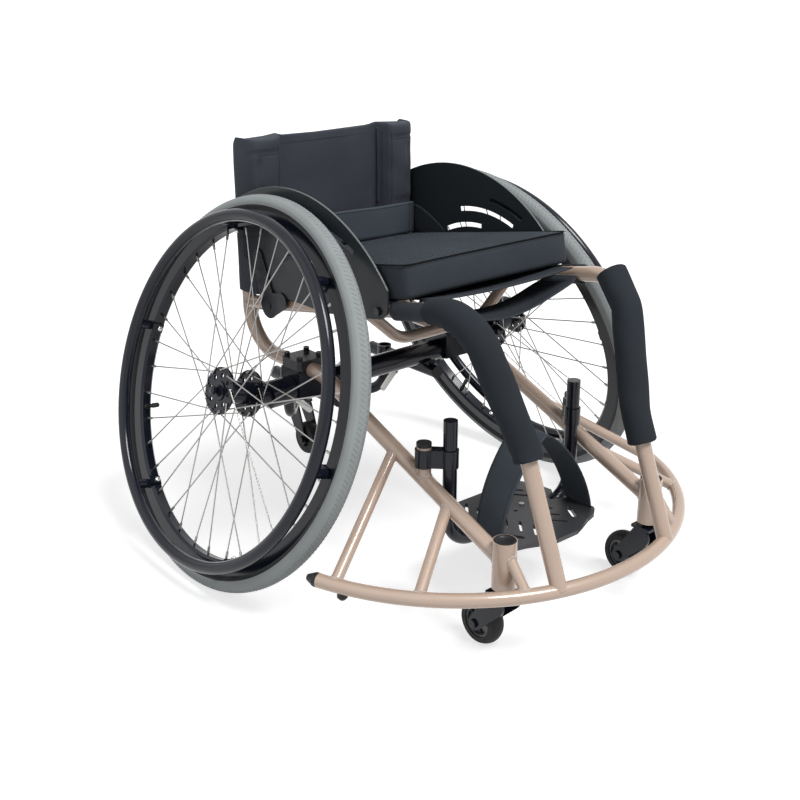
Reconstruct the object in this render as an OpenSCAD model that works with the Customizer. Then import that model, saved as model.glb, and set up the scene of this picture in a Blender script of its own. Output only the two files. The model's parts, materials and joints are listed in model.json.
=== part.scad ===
// Rigid basketball wheelchair: welded tube frame with a wrap-around front bumper,
// two cambered spoked wheels, two front casters, a rear anti-tip caster,
// a height-adjustable footrest, a padded seat and a sling back.
// +X is forward, +Y is the sitter's left, +Z is up, and the floor is z = 0.

/* [Rear wheels] */
// Outer radius of a rear tyre
wheel_r = 320; // [305:1:335]
// Diameter of the tyre's section
tyre_d = 32; // [28:1:36]
// Lean of each rear wheel from upright, in degrees
camber = 18; // [15:0.5:20]
// Distance from the frame's side to a hub's centre
wheel_stand = 135; // [131:1:148]
// Width of the rim
rim_w = 22; // [18:1:24]
// Depth of the rim's box section
rim_h = 22; // [16:1:28]
// Spokes on each wheel, a multiple of four
spoke_count = 36; // [24:4:44]
// Diameter of a spoke
spoke_d = 2.2; // [1.8:0.1:2.6]
// Diameter of the hub's flanges
flange_d = 77; // [70:1:84]
// Distance from the rim's plane to the outer flange
flange_out = 30; // [27:1:32]
// Distance from the rim's plane to the inner flange
flange_in = 26; // [23:1:28]
// Diameter of a wheel's axle pin
axle_pin_d = 12; // [10:0.5:13]
// Radius of the handrim's centre line
handrim_r = 280; // [270:1:284]
// Diameter of the handrim's tube
handrim_d = 20; // [16:1:22]
// Distance from the rim's plane to the handrim
handrim_out = 39; // [36:1:44]
// Tabs that hold a handrim
tab_count = 6; // [3:1:8]

/* [Frame] */
// Diameter of the side tubes, seat rails and legs
tube_d = 25; // [22:0.5:27]
// Distance of the back posts behind the axle
back_reach = 155; // [145:1:165]
// Height of the back posts' tops
back_top = 664; // [640:1:668]
// Height of the side tubes over the axle
side_z = 320; // [318:1:324]
// Place where a side tube starts to slope down, ahead of the axle
knuckle_x = 56; // [54:1:62]
// Place of the caster heads, ahead of the axle
caster_x = 483; // [476:1:492]
// Height at which the side tubes meet the caster heads
nose_z = 150; // [146:1:155]
// Height of the seat rails at the back posts
rail_z = 397; // [390:1:404]
// Place of the knees of the seat rails, ahead of the axle
knee_x = 400; // [394:1:406]
// Height of the knees
knee_z = 502; // [496:1:508]
// Distance from the middle plane to the lower legs
foot_y = 120; // [116:1:124]
// Diameter of the struts from the side tubes to the bumper
strut_d = 18; // [16:0.5:20]

/* [Bumper] */
// Radius of the bumper's bow
bow_r = 383; // [375:1:390]
// Centre of the bumper's bow, ahead of the axle
bow_x = 187; // [182:1:192]
// Height of the bumper
bow_z = 117; // [115:1:122]
// Diameter of the bumper's tube
bow_d = 22; // [20:0.5:24]
// Angle of each end of the bow from straight ahead
bow_end = 72; // [70:0.5:74]

/* [Axle] */
// Height of the axle tube
axle_z = 285; // [284:0.5:286]
// Diameter of the axle tube
axle_d = 38; // [36:0.5:39]
// Wall of the axle tube
axle_wall = 3; // [2:0.5:4]

/* [Seat] */
// Width of the cushion
cushion_w = 346; // [338:1:354]
// Gap between the cushion and each side guard
cushion_gap = 5.5; // [4:0.5:8]
// Length of the cushion from back to front
cushion_l = 392; // [380:1:396]
// Thickness of the cushion at its edges
cushion_h = 48; // [40:1:56]
// Rise of the cushion's crown above its edges
cushion_crown = 7; // [2:1:12]
// Height of the backrest's bottom hem
rest_low = 420; // [416:1:430]
// Height of the backrest's top edge
rest_top = 682; // [680:1:694]
// Cover of the backrest over the outer side of each post
rest_wall = 1.5; // [1.3:0.1:1.8]
// Sag of the seat sling between the rails
sling_sag = 9; // [5:1:16]
// Sag of the calf strap between the rails
calf_sag = 33; // [20:1:44]
// Width of the calf strap
calf_w = 72; // [60:1:76]
// Thickness of the side guards
guard_t = 3; // [2:0.5:4]

/* [Casters] */
// Radius of a front caster wheel
caster_r = 37; // [34:1:39]
// Width of a front caster tyre
caster_w = 26; // [22:1:28]
// Distance of a caster's axle behind its swivel
caster_trail = 41; // [37:1:46]
// Diameter of a caster head
head_d = 36; // [35:0.5:38]
// Height of a caster head's bottom
head_z = 110; // [108:1:114]
// Height of a caster head
head_h = 76; // [70:1:82]

/* [Anti-tip caster] */
// Radius of the anti-tip wheel
tip_r = 32; // [28:1:34]
// Height of the anti-tip wheel over the floor
tip_lift = 43; // [38:1:48]
// Distance of the anti-tip swivel behind the axle
tip_reach = 247; // [240:1:254]
// Distance from the middle plane to the anti-tip receivers
tip_y = 112; // [108:1:116]

/* [Footrest] */
// Place of the footrest tube, ahead of the axle
foot_x = 335; // [334:1:340]
// Distance from the middle plane to the footrest's posts
post_y = 136; // [134:1:137]
// Height of the footrest posts' tops
post_top = 317; // [300:1:330]
// Height of the footrest's cross tube
cross_z = 110; // [108:1:114]
// Diameter of the footrest's tube
post_d = 22; // [19:0.5:22.5]
// Length of the footplate
plate_l = 198; // [190:1:204]
// Width of the footplate
plate_w = 206; // [196:1:210]
// Thickness of the footplate
plate_t = 7; // [4:0.5:8]

/* [Hidden] */
$fn = 64;
// Clearances: running and seated fits, soft pieces on hard ones, and coped tube ends
run_gap = 0.05;
seat_gap = 0.02;
soft_gap = 0.4;
weld_gap = 0.1;
// Lap of a straight run into a bend, and the bend's fuller radius
bend_lap = 0.8;
bend_swell = 0.05;
steep_share = 0.9;
// Overrun of every cut
cut = 1;

// Rear wheel
tyre_mid_r = wheel_r - tyre_d / 2;
hub_z = tyre_mid_r * cos(camber) + tyre_d / 2;
tyre_sink = 13;
rim_bed_r = tyre_mid_r - tyre_sink;
rim_in_r = rim_bed_r - rim_h;
rim_wall = 2.5;
rim_hook = 5;
rim_bevel = 4;
flange_t = 4;
barrel_d = 38;
nose_d = 33;
nose_l = 4;
tail_d = 35;
tail_l = 9;
hub_end = flange_out + nose_l;
hub_tail = flange_in + tail_l;
bearing_d = 28;
bearing_w = 8;
hub_bore_d = 18;
spoke_hole_d = 3;
spoke_edge = 4.5;
spoke_hole_r = flange_d / 2 - spoke_edge;
spoke_cross = 3;
nipple_d = 4.4;
nipple_l = 13;
nipple_taper = 2;
nipple_tip_d = 2.2;
nipple_gap = 0.2;
spoke_head_d = 4;
spoke_head_l = 1.6;
light_hole_d = 8;
light_hole_r = 25;
light_holes = 8;
tab_w = 16;
tab_t = 3;
tab_screw_d = 7;
tab_screw_h = 3;
tab_angle = -180 / spoke_count;
wheel_phase = -4.5;
pin_head_d = 19;
pin_head_t = 3.5;
pin_gap = 0.5;
pin_in = 96;
button_d = 13;
button_h = 6;
button_stem_d = 6;
button_stem_l = 26;
button_travel = 3;
button_rest = button_travel + pin_gap;

// Widths that follow from the cushion
guard_stand = 2;
waist_in = 4.5;
frame_y = cushion_w / 2 + cushion_gap - guard_stand - tube_d / 2;
hub_y = frame_y + wheel_stand;
rest_w = 2 * (frame_y + tube_d / 2 + rest_wall);
waist_end = frame_y + tube_d / 2 - waist_in;

// Axle tube, its sockets and clamps
axle_end_in = 77;
axle_end = hub_y - axle_end_in;
socket_d = 46;
socket_tuck = 30;
socket_in = axle_end - socket_tuck;
socket_reach = 16;
socket_out = axle_end + socket_reach;
boss_d = 34;
boss_gap = 0.4;
clamp_l = 52;
clamp_w = 54;
clamp_low = 272;
clamp_top = 338;
clamp_split = 0.6;
clamp_bevel = 5;
clamp_bolt_d = 6;
clamp_head_d = 10;
clamp_head_h = 7;
clamp_bolt_x = 18;
clamp_bolt_y = 20;
clamp_shank = 30;

// Frame
post_x = -back_reach;
post_bend = 78;
knuckle_bend = 120;
knee_bend = 75;
shin_bend = 100;
shin_share = 0.5;
rear_strut_x = 238;
front_strut_x = 362;
rear_strut_angle = 68;
front_strut_angle = 49;
head_strut_angle = 25.7;
head_strut_d = 16;
head_strut_share = 0.85;
head_bore_d = 22;
head_mouth = 16;
stub_x = 307;
stub_d = 23;
stub_top = 274;
plug_t = 6;
plug_lip = 0.3;
plug_nose = 13;
cross_x = 160;
cross_d = 19;
cross_drop = 66;
cross_in_y = 88;
cross_bend = 60;
foot_end_x = bow_x + sqrt(bow_r * bow_r - foot_y * foot_y);
shin_x = knee_x + (foot_end_x - knee_x) * shin_share;
shin_z = knee_z - (knee_z - bow_z) * shin_share;
front_reach = bow_x + bow_r + bow_d / 2;
axle_x = (wheel_r - front_reach) / 2;
rail_slope = atan((knee_z - rail_z) / (knee_x - post_x));
skid_angle = 66;
skid_d = 16;
skid_h = 9;
skid_step = 3;
skid_tip_d = 9;
skid_tip_h = 4;

// Seat
sling_t = 3;
sling_start = 46;
sling_full = 406;
sling_end = 480;
sling_hem = 13;
sling_flat = 12;
sling_narrow = 20;
sling_steps = 24;
cushion_start = 57;
cushion_draw = 5;
cushion_round = 5;
cushion_square = 16;
cushion_around = 48;
cushion_soft_share = 0.3;
cushion_crown_shares = [[0.06, 0.30], [0.20, 0.66], [0.45, 0.90], [0.75, 1.00]];
calf_start = 408;
calf_t = 2.5;
calf_steps = 28;
sleeve_d = 47;
sleeve_start_right = 482;
sleeve_start_left = 546;
sleeve_tilt_left = 28;
sleeve_fit = 0.6;
sleeve_end_right = 296;
sleeve_end_left = 263;
rest_wing_y = 104;
rest_step = 14;
rest_front = 43;
rest_back = 18.5;
rest_panel_front = 13;
rest_panel_back = 3;
rest_dip = 5;
rest_rows = 13;
rest_cols = 26;
rest_hem = 10;
rest_square = 40;
rest_hem_shares = [[0, 0.35], [0.25, 0.75], [1, 1]];
rest_foot_shares = [[0, 0.80], [0.3, 0.93], [1, 1]];
waist_low = 484;
waist_h = 54;
waist_t = 3;
waist_bow = 12;
waist_steps = 24;
guard_gap = 6;
guard_front = 243;
guard_back = 139;
guard_corner = 22;
guard_cover = 12;
guard_arch = 17;
guard_arch_front = 136;
guard_arch_mid = 50;
guard_arch_back = 36;
slot_x = 60;
slot_z = 330;
slot_w = 8;
slot_r = [240, 217, 189];
slot_from = [64.6, 67.6, 88];
slot_sweep = [19.7, 35.4, 28];
guard_bolt_d = 6;
guard_head_d = 13;
guard_head_h = 4;
guard_front_bolt = 221;
guard_rear_bolt = 66;
bracket_t = 3;
bracket_back = 28;
bracket_high = 78;
bracket_fore = 36;
bracket_rise = 14;
bracket_top_r = 15;
bracket_low_r = 22;
bracket_web_share = 0.98;

// Front casters
stem_d = 12;
stem_top = 12;
fork_t = 4;
fork_gap = 2;
fork_crown_d = 36;
fork_crown_t = 5;
fork_top = 104;
fork_foot_r = 11;
fork_neck_d = 17;
fork_shoulder = 0.3;
caster_axle_d = 8;
caster_bolt_d = 14;
caster_bolt_h = 4;
caster_core_r = 24;
caster_core_w = 22;
caster_tread_r = 20;
caster_hub_r = 9;
caster_holes = 5;
caster_hole_d = 8;

// Anti-tip caster
receiver_d = 24;
receiver_front = 28;
receiver_back = 157;
receiver_gap = 0.2;
receiver_z = axle_z - axle_d / 2 - receiver_d / 2 - receiver_gap;
saddle_l = 30;
saddle_w = 14;
drop_x = 122;
drop_d = 27;
drop_low = 212;
drop_lip = 3;
tip_leg_d = 20;
tip_leg_top = 263;
tip_corner_z = 178;
tip_corner_bend = 35;
tip_apex_z = 172;
tip_head_d = 30;
tip_head_low = 155;
tip_head_h = 37;
tip_stem_d = 12;
tip_trail = 26;
tip_w = 22;
tip_core_r = 19;
tip_fork_t = 4;
tip_crown_gap = 5;
tip_fork_top = tip_head_low - tip_crown_gap;
tip_axle_z = tip_lift + tip_r;
collar_up = 2;
collar_h = 16;
collar_wall = 4;
lug_w = 16;
lug_t = 5;
lever_out = 3;
lever_pin_d = 5;
lever_hub_d = 12;
lever_w = 9;
lever_gap = 0.4;
lever_l = 40;
lever_t = 4;
lever_tip_d = 11;
lever_lean = 45;

// Footrest
foot_bend = 45;
foot_clamp_low = 241;
foot_clamp_h = 29;
foot_clamp_wall = 2.5;
foot_clamp_web = 18;
clamp_clear = 0.6;
plate_gap = 0.2;
plate_z = cross_z + post_d / 2 + plate_gap;
plate_back = 73;
screw_y = 24;
screw_d = 5;
screw_head_d = 9;
screw_head_h = 2.2;
screw_l = 12;
spare_hole_x = 10.5;
spare_hole_d = 6.4;
grip_w = 5;
grip_l = 34;
grip_angle = 40;
grip_shares = [[0.13, 0.26], [0.25, 0.24], [0.52, 0.20], [0.64, 0.16], [0.76, 0.12]];
strap_slot_w = 8;
strap_slot_l = 38;
strap_slot_x_share = 0.722;
strap_slot_y_share = 0.32;
strap_slot_angle = 30;
heel_w = 45;
heel_t = 2.5;
heel_h = 150;
heel_half = 102;
heel_x = 54;
heel_back = 14;
heel_front = 10;
heel_lean_power = 1.54;
heel_rise_power = 1.25;
heel_steps = 26;
plate_shares = [
  [0.00, 0.340], [0.02, 0.417], [0.14, 0.466], [0.24, 0.490], [0.33, 0.500], [0.375, 0.466], [0.40, 0.379],
  [0.455, 0.360], [0.49, 0.420], [0.52, 0.500], [0.55, 0.520], [0.78, 0.520], [0.81, 0.500], [0.86, 0.437],
  [0.89, 0.335], [0.935, 0.233], [0.98, 0.120]
];

// Colours
gold = "#c9ab93";
black = "#24282b";
grey = "#8d9290";
cloth = "#33373b";
silver = "#b9bbbd";

right = -1;
left = 1;
sides = [right, left];

// Vectors
function unit(v) = v / norm(v);
function square_to(v) = abs(v[2]) < steep_share ? unit(cross([0, 0, 1], v)) : unit(cross([1, 0, 0], v));
function turn(u, v) = acos(u * v);
function setback(p, q, r, bend) = bend * tan(turn(unit(q - p), unit(r - q)) / 2);

// Sets children along the axes a, b and c, from the point o
module set_axes(o, a, b, c) {
  multmatrix([
    [a[0], b[0], c[0], o[0]],
    [a[1], b[1], c[1], o[1]],
    [a[2], b[2], c[2], o[2]],
    [0, 0, 0, 1]
  ]) children();
}

// Round bar between two points
module bar(p, q, d) {
  c = unit(q - p);
  b = square_to(c);
  set_axes(p, cross(b, c), b, c) cylinder(d = d, h = norm(q - p));
}

// Bend of a bar at the corner q between the points p and r
module bend_at(p, q, r, bend, d) {
  u = unit(q - p);
  v = unit(r - q);
  inward = unit(v - u * (u * v));
  start = q - u * setback(p, q, r, bend);
  set_axes(start + inward * bend, -inward, u, cross(u, inward))
    rotate_extrude(angle = turn(u, v)) translate([bend, 0]) circle(d = d);
}

// Bar along straight runs with a bend of its own at each corner
module bent_bar(points, bends, d) {
  last = len(points) - 1;
  for (i = [1 : last]) {
    u = unit(points[i] - points[i - 1]);
    lead = i > 1 ? setback(points[i - 2], points[i - 1], points[i], bends[i - 2]) : 0;
    tail = i < last ? setback(points[i - 1], points[i], points[i + 1], bends[i - 1]) : 0;
    first_lap = i > 1 ? bend_lap : 0;
    last_lap = i < last ? bend_lap : 0;
    bar(points[i - 1] + u * (lead - first_lap), points[i] + u * (last_lap - tail), d);
  }
  for (i = [1 : last - 1]) {
    bend_at(points[i - 1], points[i], points[i + 1], bends[i - 1], d + 2 * bend_swell);
  }
}

// Flat link between two round ends
module link(p, q, p_r, q_r, web_share = 1) {
  u = unit(q - p);
  n = [-u[1], u[0]] * web_share;
  translate(p) circle(r = p_r);
  translate(q) circle(r = q_r);
  polygon([p + n * p_r, q + n * q_r, q - n * q_r, p - n * p_r]);
}

// Straight slot with round ends
module slot(l, w, h) {
  translate([-(l - w) / 2, -w / 2, 0]) cube([l - w, w, h]);
  for (s = sides) {
    translate([s * (l - w) / 2, 0, 0]) cylinder(d = w, h = h);
  }
}

// Skin over rings of points, closed by a fan at each end
module ring_skin(rings) {
  n = len(rings[0]);
  m = len(rings);
  first_mid = [for (k = [0 : 2]) [for (p = rings[0]) p[k]] * [for (p = rings[0]) 1] / n];
  last_mid = [for (k = [0 : 2]) [for (p = rings[m - 1]) p[k]] * [for (p = rings[0]) 1] / n];
  points = concat([for (ring = rings) each ring], [first_mid, last_mid]);
  walls = [
    for (j = [0 : m - 2]) for (i = [0 : n - 1])
      each [
        [j * n + i, (j + 1) * n + i, j * n + (i + 1) % n],
        [j * n + (i + 1) % n, (j + 1) * n + i, (j + 1) * n + (i + 1) % n]
      ]
  ];
  first_fan = [for (i = [0 : n - 1]) [m * n, i, (i + 1) % n]];
  last_fan = [for (i = [0 : n - 1]) [m * n + 1, (m - 1) * n + (i + 1) % n, (m - 1) * n + i]];
  polyhedron(points = points, faces = concat(walls, first_fan, last_fan));
}

// The frames that the pieces are drawn in
module on_axle() {
  translate([axle_x, 0, 0]) children();
}

// Rear wheel: Z points outwards along the cambered axle, from the rim's plane
module on_wheel(s) {
  on_axle() translate([0, s * hub_y, hub_z]) rotate([-s * (90 - camber), 0, 0]) children();
}

// Seat: X runs forward along the seat rails' axes, from the back posts
module on_seat() {
  on_axle() translate([post_x, 0, rail_z]) rotate([0, -rail_slope, 0]) children();
}

// Caster head: the swivel axis, from the floor
module on_caster(s) {
  on_axle() translate([caster_x, s * frame_y, 0]) children();
}

// Paths of the tubes
function side_path(s) = [
  [post_x, s * frame_y, back_top],
  [post_x, s * frame_y, side_z],
  [knuckle_x, s * frame_y, side_z],
  [caster_x, s * frame_y, nose_z]
];
function side_height(x) = side_z + (nose_z - side_z) * (x - knuckle_x) / (caster_x - knuckle_x);
function rail_path(s) = [
  [post_x, s * frame_y, rail_z],
  [knee_x, s * frame_y, knee_z],
  [shin_x, s * foot_y, shin_z],
  [foot_end_x, s * foot_y, bow_z]
];
function rail_height(x) = rail_z + (knee_z - rail_z) * (x - post_x) / (knee_x - post_x);
function bow_point(s, a) = [bow_x + bow_r * cos(a), s * bow_r * sin(a), bow_z];

module side_bar(s, d) {
  bent_bar(side_path(s), [post_bend, knuckle_bend], d);
}

module side_slope(s, d) {
  path = side_path(s);
  bar(path[2], path[3], d);
}

module side_run(s, d) {
  path = side_path(s);
  bar(path[1] + [post_bend, 0, 0], path[2], d);
}

module rail_bar(s, d) {
  bent_bar(rail_path(s), [knee_bend, shin_bend], d);
}

module rail_run(s, d) {
  path = rail_path(s);
  bar(path[0], path[1], d);
}

module back_post(s, d) {
  path = side_path(s);
  bar(path[0], path[1], d);
}

module post_foot(s, d) {
  path = side_path(s);
  bend_at(path[0], path[1], path[2], post_bend, d);
}

module bow_bar(d) {
  translate([bow_x, 0, bow_z])
    rotate([0, 0, -bow_end])
      rotate_extrude(angle = 2 * bow_end) translate([bow_r, 0]) circle(d = d);
}

module head_solid(s) {
  translate([caster_x, s * frame_y, head_z]) cylinder(d = head_d, h = head_h);
}

module axle_bar(d) {
  translate([0, -axle_end, axle_z]) rotate([-90, 0, 0]) cylinder(d = d, h = 2 * axle_end);
}

// Frame pieces
module main_tube(s) {
  color(gold) on_axle() difference() {
    side_bar(s, tube_d);
    head_solid(s);
  }
}

module seat_rail(s) {
  color(gold) on_axle() difference() {
    rail_bar(s, tube_d);
    back_post(s, tube_d + weld_gap);
    post_foot(s, tube_d + weld_gap);
    bow_bar(bow_d + weld_gap);
  }
}

module bumper_tube() {
  color(gold) on_axle() bow_bar(bow_d);
}

module strut(s, x, a) {
  difference() {
    bar([x, s * frame_y, side_height(x)], bow_point(s, a), strut_d);
    side_slope(s, tube_d + weld_gap);
    bow_bar(bow_d + weld_gap);
  }
}

module frame_struts() {
  color(gold) on_axle() for (s = sides) {
    strut(s, rear_strut_x, rear_strut_angle);
    strut(s, front_strut_x, front_strut_angle);
    difference() {
      bar(
        [caster_x, s * frame_y, head_z + head_h * head_strut_share],
        bow_point(s, head_strut_angle),
        head_strut_d
      );
      head_solid(s);
      bow_bar(bow_d + weld_gap);
    }
    difference() {
      bar([stub_x, s * frame_y, side_height(stub_x)], [stub_x, s * frame_y, stub_top], stub_d);
      side_slope(s, tube_d + weld_gap);
    }
  }
}

module caster_heads() {
  color(gold) on_axle() for (s = sides) {
    difference() {
      head_solid(s);
      translate([caster_x, s * frame_y, head_z]) {
        translate([0, 0, -cut]) cylinder(d = bearing_d + 2 * seat_gap, h = bearing_w + cut);
        cylinder(d = head_bore_d, h = head_h);
        translate([0, 0, head_h - head_mouth - bearing_w])
          cylinder(d = bearing_d + 2 * seat_gap, h = head_mouth + bearing_w + cut);
      }
    }
  }
}

module caster_bearings() {
  color(silver) for (s = sides) {
    on_caster(s) for (z = [head_z, head_z + head_h - head_mouth - bearing_w]) {
      translate([0, 0, z]) difference() {
        cylinder(d = bearing_d, h = bearing_w);
        translate([0, 0, -cut]) cylinder(d = stem_d + 2 * run_gap, h = bearing_w + 2 * cut);
      }
    }
  }
}

module seat_cross_tube() {
  path = [
    [cross_x, -frame_y, rail_height(cross_x)],
    [cross_x, -cross_in_y, rail_height(cross_x) - cross_drop],
    [cross_x, cross_in_y, rail_height(cross_x) - cross_drop],
    [cross_x, frame_y, rail_height(cross_x)]
  ];
  color(gold) on_axle() difference() {
    bent_bar(path, [cross_bend, cross_bend], cross_d);
    for (s = sides) {
      rail_run(s, tube_d + weld_gap);
    }
  }
}

module bow_plug(s) {
  translate([bow_x, 0, bow_z]) rotate([0, 0, s * bow_end]) translate([bow_r, 0, 0])
    rotate([-s * 90, 0, 0]) {
      cylinder(d = bow_d, h = plug_t);
      translate([0, 0, plug_t]) cylinder(d1 = bow_d, d2 = bow_d - 2 * plug_t, h = plug_nose);
    }
}

module skid(s) {
  foot = bow_point(s, skid_angle);
  translate([foot[0], foot[1], bow_z - bow_d / 2 - skid_h]) difference() {
    union() {
      translate([0, 0, skid_tip_h]) cylinder(d = skid_d, h = skid_h + skid_step - skid_tip_h);
      cylinder(d1 = skid_tip_d, d2 = skid_d, h = skid_tip_h);
    }
    translate(-[foot[0], foot[1], bow_z - bow_d / 2 - skid_h]) bow_bar(bow_d + weld_gap);
  }
}

module tube_plugs() {
  color(black) for (s = sides) {
    on_axle() {
      bow_plug(s);
      skid(s);
      translate([stub_x, s * frame_y, stub_top]) cylinder(d = stub_d + 2 * plug_lip, h = plug_t);
    }
    on_axle() for (x = [receiver_front, -receiver_back - plug_t / 2]) {
      translate([x, s * tip_y, receiver_z]) rotate([0, 90, 0])
        cylinder(d = receiver_d + plug_lip, h = plug_t / 2);
    }
  }
}

// Axle
module axle_tube() {
  color(black) on_axle() difference() {
    axle_bar(axle_d);
    translate([0, -axle_end - cut, axle_z]) rotate([-90, 0, 0])
      cylinder(d = axle_d - 2 * axle_wall, h = 2 * (axle_end + cut));
  }
}

module clamp_bolt_places(s) {
  for (i = sides, j = sides) {
    translate([i * clamp_bolt_x, s * frame_y + j * clamp_bolt_y, clamp_top]) children();
  }
}

// Lower half of a clamp, bored for the axle tube and the side tube
module axle_clamps() {
  color(black) on_axle() for (s = sides) {
    difference() {
      translate([-clamp_l / 2, s * frame_y - clamp_w / 2, clamp_low])
        cube([clamp_l, clamp_w, side_z - clamp_low]);
      axle_bar(axle_d + 2 * seat_gap);
      side_run(s, tube_d + 2 * seat_gap);
      clamp_bolt_places(s) translate([0, 0, -clamp_shank - cut]) cylinder(d = clamp_bolt_d, h = clamp_shank);
    }
  }
}

// Upper half of a clamp with a bevelled top
module clamp_caps() {
  x = clamp_l / 2;
  y = clamp_w / 2;
  b = clamp_bevel;
  color(grey) on_axle() for (s = sides) {
    difference() {
      translate([0, s * frame_y, side_z + clamp_split])
        linear_extrude(clamp_top - side_z - clamp_split) polygon([
          [x, y - b], [x - b, y], [b - x, y], [-x, y - b],
          [-x, b - y], [b - x, -y], [x - b, -y], [x, b - y]
        ]);
      side_run(s, tube_d + 2 * seat_gap);
      clamp_bolt_places(s) translate([0, 0, -clamp_shank]) cylinder(d = clamp_bolt_d, h = clamp_shank + cut);
    }
  }
}

module clamp_bolts() {
  color(black) on_axle() for (s = sides) {
    clamp_bolt_places(s) {
      difference() {
        cylinder(d = clamp_head_d, h = clamp_head_h);
        translate([0, 0, clamp_head_h / 2]) cylinder(d = clamp_head_d / 2, h = clamp_head_h, $fn = 6);
      }
      translate([0, 0, -clamp_shank]) cylinder(d = clamp_bolt_d - 2 * run_gap, h = clamp_shank);
    }
  }
}

module camber_sockets() {
  reach = hub_tail + boss_gap;
  color(black) for (s = sides) {
    difference() {
      union() {
        on_axle() translate([0, s * socket_in, axle_z]) rotate([-s * 90, 0, 0])
          cylinder(d = socket_d, h = socket_out - socket_in);
        on_wheel(s) translate([0, 0, -reach - boss_d]) cylinder(d = boss_d, h = boss_d);
      }
      on_axle() axle_bar(axle_d);
      on_wheel(s) translate([0, 0, -pin_in]) cylinder(d = axle_pin_d + 2 * seat_gap, h = pin_in);
    }
  }
}

module axle_pins() {
  color(silver) for (s = sides) {
    on_wheel(s) difference() {
      union() {
        translate([0, 0, -pin_in]) cylinder(d = axle_pin_d, h = pin_in + hub_end + pin_gap);
        translate([0, 0, hub_end + pin_gap]) cylinder(d = pin_head_d, h = pin_head_t);
      }
      translate([0, 0, hub_end + pin_gap + pin_head_t - button_stem_l - button_travel])
        cylinder(d = button_stem_d + 2 * run_gap, h = button_stem_l + button_travel + cut);
      on_socket_wall(s);
    }
  }
}

// The axle tube's wall where a pin passes its open end
module on_socket_wall(s) {
  rotate([s * (90 - camber), 0, 0]) translate([0, -s * hub_y, -hub_z]) axle_bar(axle_d);
}

// Rear wheel pieces
module rim_solid() {
  half = rim_w / 2;
  hook_r = rim_bed_r + rim_hook;
  rotate_extrude($fn = 128) polygon([
    [rim_in_r, rim_bevel - half],
    [rim_in_r, half - rim_bevel],
    [rim_in_r + rim_bevel, half],
    [hook_r, half],
    [hook_r, half - rim_wall],
    [rim_bed_r, half - rim_wall],
    [rim_bed_r, rim_wall - half],
    [hook_r, rim_wall - half],
    [hook_r, -half],
    [rim_in_r + rim_bevel, -half]
  ]);
}

module tyre(s) {
  color(grey) on_wheel(s) difference() {
    rotate_extrude($fn = 128) translate([tyre_mid_r, 0]) circle(d = tyre_d);
    rim_solid();
  }
}

module rim(s) {
  color(black) on_wheel(s) rim_solid();
}

// One wire from the flange to the rim, with its head and nipple
module spoke(p, q) {
  l = norm(q - p);
  c = unit(q - p);
  a = square_to(c);
  set_axes(p, a, cross(c, a), c) rotate_extrude($fn = 16) polygon([
    [0, -spoke_head_l], [spoke_head_d / 2, -spoke_head_l], [spoke_head_d / 2, 0], [spoke_d / 2, 0],
    [spoke_d / 2, l - nipple_l], [nipple_d / 2, l - nipple_l], [nipple_d / 2, l - nipple_taper],
    [nipple_tip_d / 2, l], [0, l]
  ]);
}

module spokes(s) {
  step = 720 / spoke_count;
  head_out = flange_t / 2 + spoke_head_d / 2 + seat_gap;
  nipple_r = rim_in_r - nipple_gap;
  rim_z = rim_w / 2 - rim_bevel - nipple_d;
  color(silver) on_wheel(s) for (side = sides, i = [0 : spoke_count / 2 - 1]) {
    way = i % 2 == 0 ? 1 : -1;
    a = wheel_phase + step * i + (side > 0 ? 0 : step / 2);
    h = a + way * spoke_cross * step;
    z = side > 0 ? flange_out : -flange_in;
    spoke(
      [spoke_hole_r * cos(h), spoke_hole_r * sin(h), z + way * head_out],
      [nipple_r * cos(a), nipple_r * sin(a), side * rim_z / 2]
    );
  }
}

module hub(s) {
  color(black) on_wheel(s) difference() {
    union() {
      translate([0, 0, -flange_in]) cylinder(d = barrel_d, h = flange_in + flange_out);
      for (z = [flange_out, -flange_in]) {
        translate([0, 0, z - flange_t / 2]) cylinder(d = flange_d, h = flange_t);
      }
      translate([0, 0, flange_out]) cylinder(d = nose_d, h = nose_l);
      translate([0, 0, -hub_tail]) cylinder(d = tail_d, h = tail_l);
    }
    translate([0, 0, -hub_tail - cut]) cylinder(d = hub_bore_d, h = hub_tail + hub_end + 2 * cut);
    for (z = [-hub_tail - cut, hub_end - bearing_w]) {
      translate([0, 0, z]) cylinder(d = bearing_d + 2 * seat_gap, h = bearing_w + cut);
    }
    for (side = sides) {
      z = side > 0 ? flange_out : -flange_in;
      step = 720 / spoke_count;
      lead = wheel_phase + (side > 0 ? 0 : step / 2);
      translate([0, 0, z - flange_t]) {
        for (i = [0 : spoke_count / 2 - 1]) {
          rotate([0, 0, lead + i * step]) translate([spoke_hole_r, 0, 0])
            cylinder(d = spoke_hole_d, h = 2 * flange_t, $fn = 16);
        }
        for (i = [0 : light_holes - 1]) {
          rotate([0, 0, i * 360 / light_holes]) translate([light_hole_r, 0, 0])
            cylinder(d = light_hole_d, h = 2 * flange_t, $fn = 24);
        }
      }
    }
  }
}

module hub_bearings(s) {
  color(silver) on_wheel(s) for (z = [-hub_tail, hub_end - bearing_w]) {
    translate([0, 0, z]) difference() {
      cylinder(d = bearing_d, h = bearing_w);
      translate([0, 0, -cut]) cylinder(d = axle_pin_d + 2 * run_gap, h = bearing_w + 2 * cut);
    }
  }
}

module handrim_ring() {
  translate([0, 0, handrim_out]) rotate_extrude($fn = 128) translate([handrim_r, 0]) circle(d = handrim_d);
}

module handrim(s) {
  color(black) on_wheel(s) handrim_ring();
}

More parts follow.
